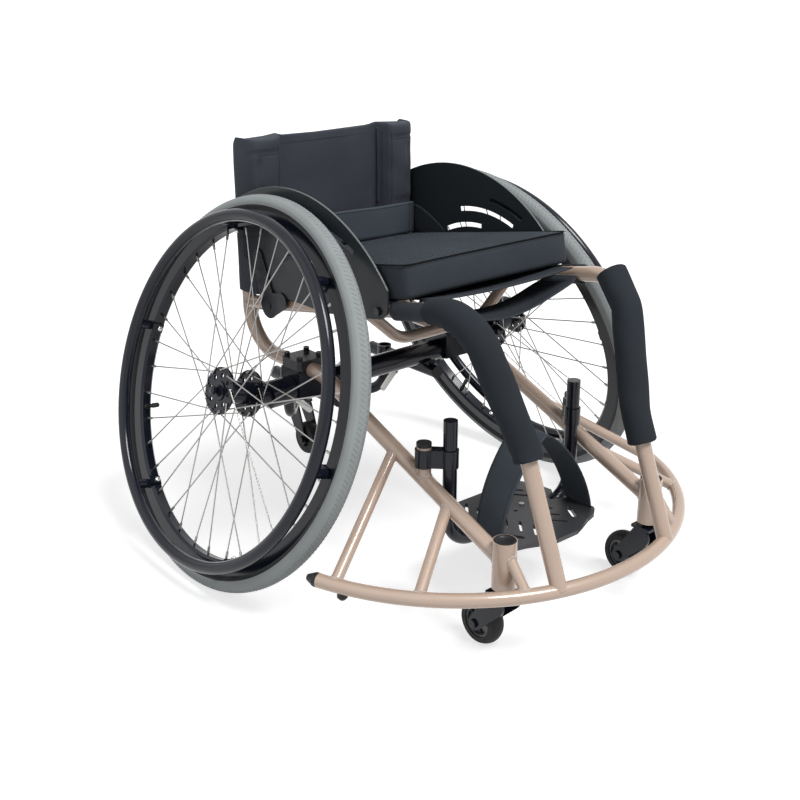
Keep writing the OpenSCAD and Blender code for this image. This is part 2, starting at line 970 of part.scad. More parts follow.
// Bracket from the rim's bevel out to the handrim, with its screw's head
module handrim_tabs(s) {
  color(black) on_wheel(s) for (i = [0 : tab_count - 1]) {
    rotate([0, 0, wheel_phase + tab_angle + i * 360 / tab_count]) difference() {
      union() {
        translate([rim_in_r - tab_t, -tab_w / 2, -rim_w / 2 + rim_bevel])
          cube([tab_t, tab_w, rim_w - rim_bevel]);
        translate([rim_in_r - tab_t, -tab_w / 2, rim_w / 2])
          cube([handrim_r - rim_in_r + tab_t, tab_w, tab_t]);
        translate([handrim_r, 0, rim_w / 2 + tab_t])
          cylinder(d = tab_w, h = handrim_out - rim_w / 2 - tab_t);
        translate([rim_in_r - tab_t, 0, 0]) rotate([0, -90, 0]) cylinder(d = tab_screw_d, h = tab_screw_h);
      }
      handrim_ring();
      rim_solid();
    }
  }
}

module axle_button(s) {
  color(black) on_wheel(s) translate([0, 0, hub_end + pin_gap + pin_head_t]) {
    translate([0, 0, button_rest - button_stem_l])
      cylinder(d = button_stem_d, h = button_stem_l + button_h / 2);
    translate([0, 0, button_rest]) intersection() {
      cylinder(d = button_d, h = button_h);
      translate([0, 0, button_h - button_d]) sphere(r = button_d);
    }
  }
}

// Seat and back
module sling_sheet(half, x0, x1) {
  flat = frame_y - sling_flat;
  lift = tube_d / 2 + soft_gap / 2;
  ys = [for (i = [0 : sling_steps]) -half + 2 * half * i / sling_steps];
  function drop(y) = abs(y) < flat ? -sling_sag * (1 - y * y / (flat * flat)) : 0;
  translate([x0, 0, 0]) rotate([90, 0, 90]) linear_extrude(x1 - x0) polygon(concat(
    [for (y = ys) [y, lift + drop(y)]],
    [for (y = ys) [-y, lift + sling_t + drop(y)]]
  ));
}

module seat_sling() {
  color(cloth) on_seat() {
    sling_sheet(frame_y + sling_hem, sling_start, sling_full);
    sling_sheet(frame_y - sling_narrow, sling_full, sling_end);
  }
}

// Outline of the cushion: square with soft corners, its sides drawn in between them
function cushion_ring(inset, z) = [
  for (i = [0 : cushion_around - 1])
    let (
      a = 360 * (i + 0.5) / cushion_around,
      u = sign(cos(a)) * pow(abs(cos(a)), 2 / cushion_square),
      v = sign(sin(a)) * pow(abs(sin(a)), 2 / cushion_square),
      pull_x = cushion_draw * (1 - v * v),
      pull_y = cushion_draw * (1 - u * u)
    )
    [u * (cushion_l / 2 - inset - pull_x), v * (cushion_w / 2 - inset - pull_y), z]
];

module seat_cushion() {
  low = tube_d / 2 + soft_gap / 2 + sling_t + soft_gap;
  top = low + cushion_h;
  width = cushion_w / 2;
  color(cloth) on_seat() translate([cushion_start + cushion_l / 2, 0, 0]) ring_skin(concat(
    [
      cushion_ring(width / 2, low),
      cushion_ring(cushion_round, low),
      cushion_ring(cushion_round * cushion_soft_share, low + cushion_round * cushion_soft_share),
      cushion_ring(0, low + cushion_round),
      cushion_ring(cushion_draw / 2, low + cushion_h / 2),
      cushion_ring(0, top - cushion_round),
      cushion_ring(cushion_round * cushion_soft_share, top - cushion_round * cushion_soft_share),
      cushion_ring(cushion_round, top)
    ],
    [for (c = cushion_crown_shares) cushion_ring(cushion_round + c[0] * width, top + c[1] * cushion_crown)]
  ));
}

// Slice of the backrest: padded wings round the posts and a thinner panel between them
function rest_blend(y) = let (t = min(1, max(0, (abs(y) - rest_wing_y) / rest_step))) t * t * (3 - 2 * t);
function rest_edge(u) = sqrt(1 - pow(abs(u), rest_square));
function rest_ring(z, inset, thin) = [
  let (half = rest_w / 2 - inset)
  for (i = [0 : 2 * rest_cols - 1])
    let (
      front = i < rest_cols,
      k = front ? i : 2 * rest_cols - 1 - i,
      u = -cos(180 * (k + 0.5) / rest_cols),
      y = half * u,
      b = rest_blend(y),
      fore = rest_panel_front + (rest_front - rest_panel_front) * b,
      aft = rest_panel_back + (rest_back - rest_panel_back) * b,
      mid = (fore - aft) / 2 * rest_edge(u) * thin,
      deep = (fore + aft) / 2 * rest_edge(u) * thin
    )
    [mid + (front ? deep : -deep), y, z - rest_dip * (1 - u * u) * (z - rest_low) / (rest_top - rest_low)]
];

module backrest() {
  h = rest_top - rest_low;
  color(cloth) on_axle() difference() {
    translate([post_x, 0, 0]) ring_skin(concat(
      [for (e = rest_foot_shares) rest_ring(rest_low + e[0] * rest_hem, 0, e[1])],
      [for (j = [1 : rest_rows - 1])
        rest_ring(rest_low + rest_hem + (h - 2 * rest_hem) * j / rest_rows, 0, 1)],
      [for (e = [2, 1, 0])
        let (hem = rest_hem_shares[e])
        rest_ring(rest_top - hem[0] * rest_hem, (1 - hem[1]) * rest_hem / 2, hem[1])]
    ));
    for (s = sides) {
      translate([0, 0, soft_gap]) back_post(s, tube_d + 2 * soft_gap);
    }
  }
}

module waist_strap() {
  front = post_x + rest_front + soft_gap;
  ys = [for (i = [0 : waist_steps]) waist_end * (2 * i / waist_steps - 1)];
  function sunk(y) = abs(y) < rest_wing_y ? waist_bow * pow(cos(90 * y / rest_wing_y), 2) : 0;
  color(cloth) on_axle() translate([0, 0, waist_low]) linear_extrude(waist_h) polygon(concat(
    [for (y = ys) [front - sunk(y), y]],
    [for (y = ys) [front + waist_t - sunk(y), -y]]
  ));
}

module guard_outline() {
  top = hub_z + wheel_r;
  corner_x = guard_front - guard_corner;
  corner_z = rail_height(corner_x) - guard_cover + guard_corner;
  intersection() {
    translate([0, hub_z]) circle(r = wheel_r - guard_gap, $fn = 128);
    union() {
      polygon([
        [-guard_back, top],
        [guard_front, top],
        [guard_front, corner_z],
        [corner_x, corner_z - guard_corner],
        [guard_arch_front, rail_height(guard_arch_front) - guard_cover],
        [guard_arch_mid, rail_height(guard_arch_mid)],
        [-guard_arch_back, rail_height(-guard_arch_back) + guard_arch],
        [-guard_rear_bolt, rail_height(-guard_rear_bolt) + guard_arch * 2],
        [-guard_back, rail_height(-guard_back) + guard_arch * 5]
      ]);
      translate([corner_x, corner_z]) circle(r = guard_corner);
    }
  }
}

// Places of the guard's bolts on the seat rail
module guard_bolt_places(s) {
  for (x = [guard_front_bolt, -guard_rear_bolt]) {
    translate([x, s * frame_y, rail_height(x)]) rotate([-s * 90, 0, 0]) children();
  }
}

module side_guard(s) {
  inner = frame_y + tube_d / 2 + guard_stand;
  color(black) on_axle() difference() {
    translate([0, s > 0 ? inner + guard_t : -inner, 0]) rotate([90, 0, 0])
      linear_extrude(guard_t) guard_outline();
    for (i = [0 : len(slot_r) - 1]) {
      translate([slot_x, s * inner - guard_t, slot_z]) rotate([90, 0, 0]) translate([0, 0, -3 * guard_t])
        rotate([0, 0, slot_from[i]]) rotate_extrude(angle = slot_sweep[i])
          translate([slot_r[i] - slot_w / 2, 0]) square([slot_w, 4 * guard_t]);
    }
    guard_bolt_places(s) cylinder(d = guard_bolt_d + 2 * run_gap, h = frame_y);
  }
}

module guard_fixings() {
  skin = tube_d / 2;
  face = skin + guard_stand + guard_t;
  color(black) on_axle() for (s = sides) {
    difference() {
      guard_bolt_places(s) {
        cylinder(d = guard_bolt_d, h = face + bracket_t);
        cylinder(d = guard_head_d, h = skin + guard_stand);
        translate([0, 0, face]) cylinder(d = guard_head_d, h = guard_head_h);
      }
      rail_run(s, tube_d);
    }
    difference() {
      translate([0, s * (frame_y + face) + (s > 0 ? bracket_t : 0), 0])
        rotate([90, 0, 0]) linear_extrude(bracket_t) bracket_outline();
      guard_bolt_places(s) translate([0, 0, face - cut]) cylinder(d = guard_head_d, h = bracket_t + 2 * cut);
    }
  }
}

// Plate that ties the guard's rear to the seat rail
module bracket_outline() {
  z = rail_height(-guard_rear_bolt);
  bolt = [-guard_rear_bolt, z];
  link(bolt + [-bracket_back, bracket_high], bolt, bracket_top_r, bracket_low_r, bracket_web_share);
  link(bolt, bolt + [bracket_fore, bracket_rise], bracket_low_r, bracket_top_r, bracket_web_share);
}

// Foam sleeve round the knee of a seat rail; the left one starts within the bend
module leg_sleeve(s) {
  path = rail_path(s);
  z = s == right ? sleeve_end_right : sleeve_end_left;
  start = path[0] + unit(path[1] - path[0]) * sleeve_start_right;
  hem = path[2] + (path[2] - path[3]) * (z - shin_z) / (shin_z - bow_z);
  color(black) difference() {
    on_axle() difference() {
      bent_bar([start, path[1], path[2], hem], [knee_bend, shin_bend], sleeve_d);
      rail_bar(s, tube_d + sleeve_fit);
    }
    if (s == left) {
      on_seat() translate([sleeve_start_left, frame_y, 0]) rotate([0, sleeve_tilt_left, 0])
        translate([-3 * sleeve_d, -sleeve_d, -2 * sleeve_d]) cube([3 * sleeve_d, 2 * sleeve_d, 4 * sleeve_d]);
    }
  }
}

// Sling strap behind the calves, sewn into a loop round each seat rail
module calf_strap() {
  loop_r = tube_d / 2 + soft_gap;
  half = frame_y - loop_r - calf_t / 2;
  ys = [for (i = [0 : calf_steps]) half * (2 * i / calf_steps - 1)];
  function hang(y) = -calf_sag * (1 - y * y / (half * half));
  color(cloth) on_seat() translate([calf_start, 0, 0]) rotate([90, 0, 90]) linear_extrude(calf_w) {
    for (s = sides) {
      translate([s * frame_y, 0]) difference() {
        circle(r = loop_r + calf_t);
        circle(r = loop_r);
      }
    }
    polygon(concat(
      [for (y = ys) [y, hang(y)]],
      [for (y = ys) [-y, hang(y) + calf_t]]
    ));
  }
}

// Casters: a fork of two plates that trails its wheel, turned about the stem
module fork_plate(trail, drop, top_r, foot_r, t) {
  rotate([90, 0, 0]) translate([0, 0, -t / 2]) linear_extrude(t)
    link([0, -top_r], [-trail, -drop], top_r, foot_r);
}

module swivel_fork(trail, drop, inner, t, top_r, foot_r, axle_d, stem_d, stem_h, neck_h) {
  outer = inner + t;
  difference() {
    union() {
      for (s = sides) {
        translate([0, s * (inner + t / 2), 0]) fork_plate(trail, drop, top_r, foot_r, t);
      }
      translate([-top_r, -outer, -fork_crown_t]) cube([2 * top_r, 2 * outer, fork_crown_t]);
      cylinder(d = fork_neck_d, h = neck_h);
      cylinder(d = stem_d, h = stem_h);
    }
    translate([-trail, outer + cut, -drop]) rotate([90, 0, 0])
      cylinder(d = axle_d, h = 2 * (outer + cut));
  }
  translate([-trail, 0, -drop]) rotate([90, 0, 0]) {
    translate([0, 0, -outer]) cylinder(d = axle_d, h = 2 * outer);
    for (s = sides) {
      translate([0, 0, s > 0 ? outer : -outer - caster_bolt_h])
        cylinder(d = caster_bolt_d, h = caster_bolt_h);
    }
  }
}

module caster_fork(s) {
  color(black) on_caster(s) translate([0, 0, fork_top])
    swivel_fork(
      caster_trail, fork_top - caster_r, caster_w / 2 + fork_gap, fork_t,
      fork_crown_d / 2, fork_foot_r, caster_axle_d, stem_d,
      head_z + head_h - stem_top - fork_top, head_z - fork_shoulder - fork_top
    );
}

module wheel_core(r, w, hub_r, axle_d, holes, hole_d) {
  rotate([90, 0, 0]) difference() {
    translate([0, 0, -w / 2]) cylinder(r = r, h = w);
    translate([0, 0, -w]) cylinder(d = axle_d + 2 * run_gap, h = 2 * w);
    for (z = [-w / 2 - cut, w / 4]) {
      translate([0, 0, z]) difference() {
        cylinder(r = r - hub_r / 3, h = w / 4 + cut);
        translate([0, 0, -cut]) cylinder(r = hub_r, h = w);
      }
    }
    for (i = [0 : holes - 1]) {
      rotate([0, 0, i * 360 / holes]) translate([(r + hub_r) / 2, 0, -w]) cylinder(d = hole_d, h = 2 * w);
    }
  }
}

module wheel_tread(r, w, core_r, tread_r) {
  rotate([90, 0, 0]) rotate_extrude() intersection() {
    translate([core_r, -w / 2]) square([r - core_r, w]);
    translate([r - tread_r, 0]) circle(r = tread_r);
  }
}

module caster_core(s) {
  color(grey) on_caster(s) translate([-caster_trail, 0, caster_r])
    wheel_core(caster_core_r, caster_core_w, caster_hub_r, caster_axle_d, caster_holes, caster_hole_d);
}

module caster_tyre(s) {
  color(black) on_caster(s) translate([-caster_trail, 0, caster_r])
    wheel_tread(caster_r, caster_w, caster_core_r, caster_tread_r);
}

// Anti-tip caster
module antitip_receivers() {
  color(black) on_axle() for (s = sides) {
    difference() {
      union() {
        translate([-receiver_back, s * tip_y, receiver_z]) rotate([0, 90, 0])
          cylinder(d = receiver_d, h = receiver_back + receiver_front);
        translate([-saddle_l / 2, s * tip_y - saddle_w / 2, receiver_z])
          cube([saddle_l, saddle_w, axle_z - receiver_z]);
        translate([-drop_x, s * tip_y, drop_low])
          cylinder(d = drop_d, h = receiver_z + receiver_d / 2 + drop_lip - drop_low);
      }
      axle_bar(axle_d + weld_gap);
      translate([-drop_x, s * tip_y, drop_low - cut]) cylinder(d = tip_leg_d + 2 * run_gap, h = axle_z);
    }
  }
}

// Quick-release collar round the drop sleeve, with the lug and pin of its lever
module on_collar(s) {
  on_axle() translate([-drop_x, s * tip_y, drop_low + collar_up]) children();
}

module receiver_collars() {
  lug_x = drop_d / 2 + collar_wall;
  color(black) for (s = sides) {
    on_collar(s) difference() {
      union() {
        cylinder(d = drop_d + 2 * collar_wall, h = collar_h);
        translate([0, -lug_w / 2, 0]) cube([lug_x + lug_t, lug_w, collar_h]);
        translate([lug_x, s * lever_out, collar_h / 2]) rotate([0, 90, 0])
          cylinder(d = lever_pin_d, h = lug_t + 2 * lever_gap + lever_w);
      }
      translate([0, 0, -cut]) cylinder(d = drop_d + 2 * seat_gap, h = collar_h + 2 * cut);
    }
  }
}

module release_lever(s) {
  tip = [-s * lever_l * sin(lever_lean), -lever_l * cos(lever_lean)];
  color(silver) on_collar(s)
    translate([drop_d / 2 + collar_wall + lug_t + lever_gap, s * lever_out, collar_h / 2])
      rotate([90, 0, 90]) difference() {
        union() {
          cylinder(d = lever_hub_d, h = lever_w);
          translate([0, 0, (lever_w - lever_t) / 2]) linear_extrude(lever_t)
            link([0, 0], tip, lever_hub_d / 2, lever_tip_d / 2);
        }
        translate([0, 0, -cut]) cylinder(d = lever_pin_d + 2 * run_gap, h = lever_w + 2 * cut);
      }
}

// Bent frame that slides in the drop sleeves and carries the swivel sleeve
module antitip_frame() {
  color(black) on_axle() difference() {
    union() {
      for (s = sides) {
        bent_bar([
          [-drop_x, s * tip_y, tip_leg_top],
          [-drop_x, s * tip_y, tip_corner_z],
          [-tip_reach, 0, tip_apex_z]
        ], [tip_corner_bend], tip_leg_d);
      }
      translate([-tip_reach, 0, tip_head_low]) cylinder(d = tip_head_d, h = tip_head_h);
    }
    translate([-tip_reach, 0, tip_head_low - cut])
      cylinder(d = tip_stem_d + 2 * run_gap, h = tip_head_h + 2 * cut);
  }
}

module antitip_fork() {
  color(black) on_axle() translate([-tip_reach, 0, tip_fork_top]) rotate([0, 0, 180])
    swivel_fork(
      tip_trail, tip_fork_top - tip_axle_z, tip_w / 2 + fork_gap, tip_fork_t,
      fork_crown_d / 2, fork_foot_r, caster_axle_d, tip_stem_d,
      tip_crown_gap + tip_head_h - fork_shoulder, tip_crown_gap - fork_shoulder
    );
}

module antitip_wheel() {
  color(black) on_axle() translate([tip_trail - tip_reach, 0, tip_axle_z]) {
    wheel_core(tip_core_r - seat_gap, tip_w, caster_hub_r, caster_axle_d, caster_holes, caster_hole_d / 2);
    wheel_tread(tip_r, tip_w, tip_core_r, caster_tread_r);
  }
}

// Footrest
module foot_post(s, d) {
  translate([foot_x, s * post_y, cross_z]) cylinder(d = d, h = post_top - cross_z);
}

module footrest_clamps() {
  color(black) on_axle() for (s = sides) {
    stub = [stub_x, s * frame_y];
    post = [foot_x, s * post_y];
    u = unit(post - stub);
    n = [-u[1], u[0]] * foot_clamp_web / 2;
    difference() {
      translate([0, 0, foot_clamp_low]) linear_extrude(foot_clamp_h) {
        translate(stub) circle(d = stub_d + 2 * foot_clamp_wall);
        translate(post) circle(d = post_d + 2 * foot_clamp_wall);
        polygon([stub + n, post + n, post - n, stub - n]);
      }
      translate([stub_x, s * frame_y, 0]) cylinder(d = stub_d + 2 * seat_gap, h = post_top);
      foot_post(s, post_d + 2 * run_gap);
      side_slope(s, tube_d + clamp_clear);
    }
  }
}

module footrest_tube() {
  path = [
    [foot_x, -post_y, post_top],
    [foot_x, -post_y, cross_z],
    [foot_x, post_y, cross_z],
    [foot_x, post_y, post_top]
  ];
  color(black) on_axle() difference() {
    bent_bar(path, [foot_bend, foot_bend], post_d);
    screw_places() translate([0, 0, -screw_l]) cylinder(d = screw_d + 2 * run_gap, h = 2 * screw_l);
  }
}

module screw_places() {
  for (s = sides) {
    translate([foot_x, s * screw_y, plate_z + plate_t]) children();
  }
}

module footplate() {
  back = foot_x - plate_back;
  half = [for (p = plate_shares) [back + p[0] * plate_l, p[1] * plate_w]];
  other = [for (i = [len(half) - 1 : -1 : 0]) [half[i][0], -half[i][1]]];
  color(black) on_axle() difference() {
    translate([0, 0, plate_z]) linear_extrude(plate_t) polygon(concat(half, other));
    screw_places() translate([0, 0, -plate_t - cut])
      cylinder(d = screw_d + 2 * run_gap, h = plate_t + 2 * cut);
    for (s = sides) {
      translate([foot_x + s * spare_hole_x, 0, plate_z - cut])
        cylinder(d = spare_hole_d, h = plate_t + 2 * cut);
      translate([back + strap_slot_x_share * plate_l, s * strap_slot_y_share * plate_w, plate_z - cut])
        rotate([0, 0, -s * strap_slot_angle]) slot(strap_slot_l, strap_slot_w, plate_t + 2 * cut);
      for (g = grip_shares) {
        translate([back + g[0] * plate_l, s * g[1] * plate_w, plate_z - cut])
          rotate([0, 0, s * grip_angle]) slot(grip_l, grip_w, plate_t + 2 * cut);
      }
    }
  }
}

module footplate_screws() {
  color(silver) on_axle() screw_places() {
    cylinder(d = screw_head_d, h = screw_head_h);
    translate([0, 0, -screw_l]) cylinder(d = screw_d, h = screw_l);
  }
}

// Arched strap over the footplate: its legs lean together and it widens towards the top
module heel_strap() {
  base = [foot_x + heel_x, 0, plate_z + plate_t + soft_gap];
  function arch(a, x, inset) =
    base + [
      x,
      sign(cos(a)) * (heel_half - inset) * pow(abs(cos(a)), heel_lean_power),
      (heel_h - inset) * pow(sin(a), heel_rise_power)
    ];
  rings = [
    for (i = [0 : heel_steps])
      let (
        a = 180 * i / heel_steps,
        back = -heel_w / 2 - heel_back * sin(a),
        front = heel_w / 2 - heel_front * sin(a)
      )
      [arch(a, front, 0), arch(a, back, 0), arch(a, back, heel_t), arch(a, front, heel_t)]
  ];
  color(cloth) on_axle() ring_skin(rings);
}

main_tube(right);  // main_tube_right
main_tube(left);  // main_tube_left
seat_rail(right);  // seat_rail_right
seat_rail(left);  // seat_rail_left
bumper_tube();
frame_struts();
caster_heads();
seat_cross_tube();
tube_plugs();
footrest_clamps();
axle_tube();
axle_clamps();
clamp_caps();
clamp_bolts();
camber_sockets();
axle_pins();
seat_sling();
seat_cushion();
backrest();
waist_strap();
side_guard(right);  // side_guard_right
side_guard(left);  // side_guard_left
guard_fixings();
leg_sleeve(right);  // leg_sleeve_right
leg_sleeve(left);  // leg_sleeve_left
calf_strap();
caster_bearings();
antitip_receivers();
receiver_collars();
tyre(right);  // tyre_right
tyre(left);  // tyre_left
rim(right);  // rim_right
rim(left);  // rim_left
spokes(right);  // spokes_right
spokes(left);  // spokes_left
hub(right);  // hub_right
hub(left);  // hub_left
hub_bearings(right);  // hub_bearings_right
hub_bearings(left);  // hub_bearings_left
handrim(right);  // handrim_right
handrim(left);  // handrim_left
handrim_tabs(right);  // handrim_tabs_right
handrim_tabs(left);  // handrim_tabs_left
axle_button(right);  // axle_button_right
axle_button(left);  // axle_button_left
caster_fork(right);  // caster_fork_right
caster_fork(left);  // caster_fork_left
caster_core(right);  // caster_core_right
caster_core(left);  // caster_core_left
caster_tyre(right);  // caster_tyre_right
caster_tyre(left);  // caster_tyre_left
antitip_frame();
antitip_fork();
antitip_wheel();
release_lever(right);  // release_lever_right
release_lever(left);  // release_lever_left
footrest_tube();
footplate();
footplate_screws();
heel_strap();
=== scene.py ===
import json
from itertools import accumulate
from math import acos, atan, ceil, copysign, cos, exp, pi, radians, sin, sqrt, tan

import bmesh
import bpy
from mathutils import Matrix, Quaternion, Vector


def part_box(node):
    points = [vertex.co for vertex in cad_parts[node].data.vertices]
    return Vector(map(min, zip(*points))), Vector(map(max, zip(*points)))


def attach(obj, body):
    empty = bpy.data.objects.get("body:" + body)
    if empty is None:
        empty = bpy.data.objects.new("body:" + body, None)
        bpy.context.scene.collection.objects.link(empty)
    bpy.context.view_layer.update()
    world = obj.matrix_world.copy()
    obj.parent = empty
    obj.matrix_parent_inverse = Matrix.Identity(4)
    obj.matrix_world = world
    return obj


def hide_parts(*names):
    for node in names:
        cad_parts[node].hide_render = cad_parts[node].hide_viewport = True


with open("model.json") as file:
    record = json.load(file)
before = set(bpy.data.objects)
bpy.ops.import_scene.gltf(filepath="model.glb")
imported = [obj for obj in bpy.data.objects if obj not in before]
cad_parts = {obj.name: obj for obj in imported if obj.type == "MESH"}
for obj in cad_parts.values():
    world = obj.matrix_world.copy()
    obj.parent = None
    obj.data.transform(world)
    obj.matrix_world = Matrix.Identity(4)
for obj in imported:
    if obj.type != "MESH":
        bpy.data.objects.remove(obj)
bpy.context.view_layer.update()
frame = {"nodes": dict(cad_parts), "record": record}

bl_info = {
    "name": "Sports Wheelchair Dressing",
    "version": (1, 0, 0),
    "blender": (4, 5, 0),
    "location": "View3D > Sidebar > Wheelchair",
    "description": "Rubber, cloth, foam, welds and a studio for the jointed sports wheelchair",
    "category": "Object",
}

MM = 0.001
FULL_TURN = 2 * pi
RIGHT, LEFT = -1, 1
SIDES = {RIGHT: "right", LEFT: "left"}
FORWARD, UP = Vector((1, 0, 0)), Vector((0, 0, 1))

# Driving dimensions in millimetres, from the floor point under the rear axle
AXLE_X = (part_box("tyre_right")[0][0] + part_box("tyre_right")[1][0]) / 2 / MM
CAMBER = radians(18)
HUB_Y, HUB_Z = 299.0, 305.121
TYRE_R, TYRE_MID_R, RIM_IN_R = 16.0, 304.0, 269.0
TUBE_R, STRUT_R, BOW_TUBE_R, HEAD_R, CROSS_R, STUB_R = 12.5, 9.0, 11.0, 18.0, 9.5, 11.5
FRAME_Y, FOOT_Y = 164.0, 120.0
POST_X, RAIL_Z, KNEE_X, KNEE_Z = -155.0, 397.0, 400.0, 502.0
SIDE_Z, KNUCKLE_X, CASTER_X, NOSE_Z = 320.0, 56.0, 483.0, 150.0
BOW_X, BOW_Z, BOW_R = 187.0, 117.0, 383.0
SHIN_SHARE, KNEE_BEND, SHIN_BEND = 0.5, 75.0, 100.0
HEAD_LOW, HEAD_H, HEAD_STRUT_SHARE, HEAD_STRUT_R = 110.0, 76.0, 0.85, 8.0
STUB_X, CROSS_X, CROSS_DROP, CROSS_IN_Y = 307.0, 160.0, 66.0, 88.0
STRUTS = ((238.0, 68.0), (362.0, 49.0))
HEAD_STRUT_TURN = 25.7
SLOPE = atan((KNEE_Z - RAIL_Z) / (KNEE_X - POST_X))
CUSHION_START, CUSHION_L, CUSHION_W, CUSHION_H = 57.0, 392.0, 346.0, 48.0
CUSHION_LOW, CUSHION_CROWN, CUSHION_DRAW = 16.1, 7.0, 5.0
REST_LOW, REST_TOP, REST_HALF, REST_FRONT, WING_Y = 420.0, 682.0, 178.0, 43.0, 104.0
GUARD_FACE, GUARD_T, GUARD_R, GUARD_FRONT, GUARD_BACK = 178.5, 3.0, 314.0, 243.0, 139.0


# Shares and places on the chair
def mix(a, b, share):
    return a + (b - a) * share


def hump(value, centre, width):
    return exp(-(((value - centre) / width) ** 2))


def ease(value):
    t = min(1.0, max(0.0, value))
    return t * t * (3 - 2 * t)


def to_row(p):
    return ((p[0] + AXLE_X) * MM, p[1] * MM, p[2] * MM)


def seat_point(along, across, up):
    c, s = cos(SLOPE), sin(SLOPE)
    return Vector((POST_X + along * c - up * s, across, RAIL_Z + along * s + up * c))


def wheel_point(side, reach, turn, out):
    lean = -side * (pi / 2 - CAMBER)
    x, y = reach * cos(turn), reach * sin(turn)
    c, s = cos(lean), sin(lean)
    return Vector((x, side * HUB_Y + y * c - out * s, HUB_Z + y * s + out * c))


def bow_point(side, degrees):
    turn = radians(degrees)
    return Vector((BOW_X + BOW_R * cos(turn), side * BOW_R * sin(turn), BOW_Z))


def side_height(x):
    return mix(SIDE_Z, NOSE_Z, (x - KNUCKLE_X) / (CASTER_X - KNUCKLE_X))


def rail_height(x):
    return mix(RAIL_Z, KNEE_Z, (x - POST_X) / (KNEE_X - POST_X))


def rail_corners(side):
    rail, knee = Vector((POST_X, side * FRAME_Y, RAIL_Z)), Vector((KNEE_X, side * FRAME_Y, KNEE_Z))
    foot = Vector((BOW_X + sqrt(BOW_R**2 - FOOT_Y**2), side * FOOT_Y, BOW_Z))
    shin = Vector((mix(KNEE_X, foot.x, SHIN_SHARE), side * FOOT_Y, mix(KNEE_Z, BOW_Z, SHIN_SHARE)))
    return [rail, knee, shin, foot]


# Paths and skins
def distances(gaps):
    return list(accumulate(gaps, initial=0.0))


def spaced(path, step, closed=False):
    points = path + [path[0]] if closed else path
    marks = distances((b - a).length for a, b in zip(points, points[1:]))
    count = max(2, round(marks[-1] / step))
    made, k = [], 0
    for i in range(count if closed else count + 1):
        want = marks[-1] * i / count
        while k < len(marks) - 2 and marks[k + 1] < want:
            k += 1
        share = (want - marks[k]) / max(marks[k + 1] - marks[k], 1e-9)
        made.append(points[k].lerp(points[k + 1], share))
    return made


def bent_path(corners, bends, step):
    path = [corners[0]]
    for bend, p, q, r in zip(bends, corners, corners[1:], corners[2:]):
        u, v = (q - p).normalized(), (r - q).normalized()
        angle = u.angle(v)
        start = q - u * bend * tan(angle / 2)
        axis = u.cross(v).normalized()
        centre = start + axis.cross(u) * bend
        steps = max(4, ceil(bend * angle / step))
        path += [centre + Quaternion(axis, angle * k / steps) @ (start - centre) for k in range(steps + 1)]
    return spaced(path + [corners[-1]], step)


def carried_frames(path, up):
    """A direction along, across and up at each point of a path, turned no more than the path turns."""
    made = []
    for i, p in enumerate(path):
        along = (path[min(i + 1, len(path) - 1)] - path[max(i - 1, 0)]).normalized()
        up = (up - along * up.dot(along)).normalized()
        made.append((p, along, up.cross(along).normalized(), up))
    return made


def turns_of(count):
    return [FULL_TURN * k / count for k in range(count)]


def hoop(centre, side, other, r, turns):
    return [centre + (side * cos(t) + other * sin(t)) * r for t in turns]


def grid(along, across, place):
    """Rows of places, for shares from 0 to 1 in both directions."""
    return [[place(i / along, k / across) for k in range(across + 1)] for i in range(along + 1)]


def lathe_rows(base, heading, profile, count=20):
    """Rings along a line: profile is pairs of distance along it and radius."""
    heading = heading.normalized()
    side = heading.orthogonal().normalized()
    other, turns = heading.cross(side), turns_of(count)
    return [hoop(base + heading * s, side, other, r, turns) for s, r in profile]


def ribbon_rows(path, across, face, width, thick, points=28, soft=(0.55, 0.35)):
    """Closed slices of a flat strap with soft edges."""
    ring = []
    for k in range(points):
        turn = FULL_TURN * (k + 0.5) / points
        u, v = [copysign(abs(n) ** s, n) / 2 for n, s in zip((cos(turn), sin(turn)), soft)]
        ring.append(across * (u * width) + face * (v * thick))
    return [[p + off for off in ring] for p in path]


def add_piece(name, verts, faces, finishes, corners, paint, closed=True):
    """A mesh object at the origin, with its place in its mesh and its cloth map in metres."""
    mesh = bpy.data.meshes.new(name)
    mesh.from_pydata([to_row(p) for p in verts], [], faces)
    for finish in finishes:
        mesh.materials.append(FINISHES[finish])
    layer = mesh.uv_layers.new(name="cloth")
    for loop, uv in zip(layer.data, (uv for face in corners for uv in face)):
        loop.uv = uv
    for poly, index in zip(mesh.polygons, paint):
        poly.material_index = index
    if closed:
        work = bmesh.new()
        work.from_mesh(mesh)
        bmesh.ops.recalc_face_normals(work, faces=work.faces)
        work.to_mesh(mesh)
        work.free()
    mesh.shade_smooth()
    piece = bpy.data.objects.new(name, mesh)
    bpy.context.scene.collection.objects.link(piece)
    return piece


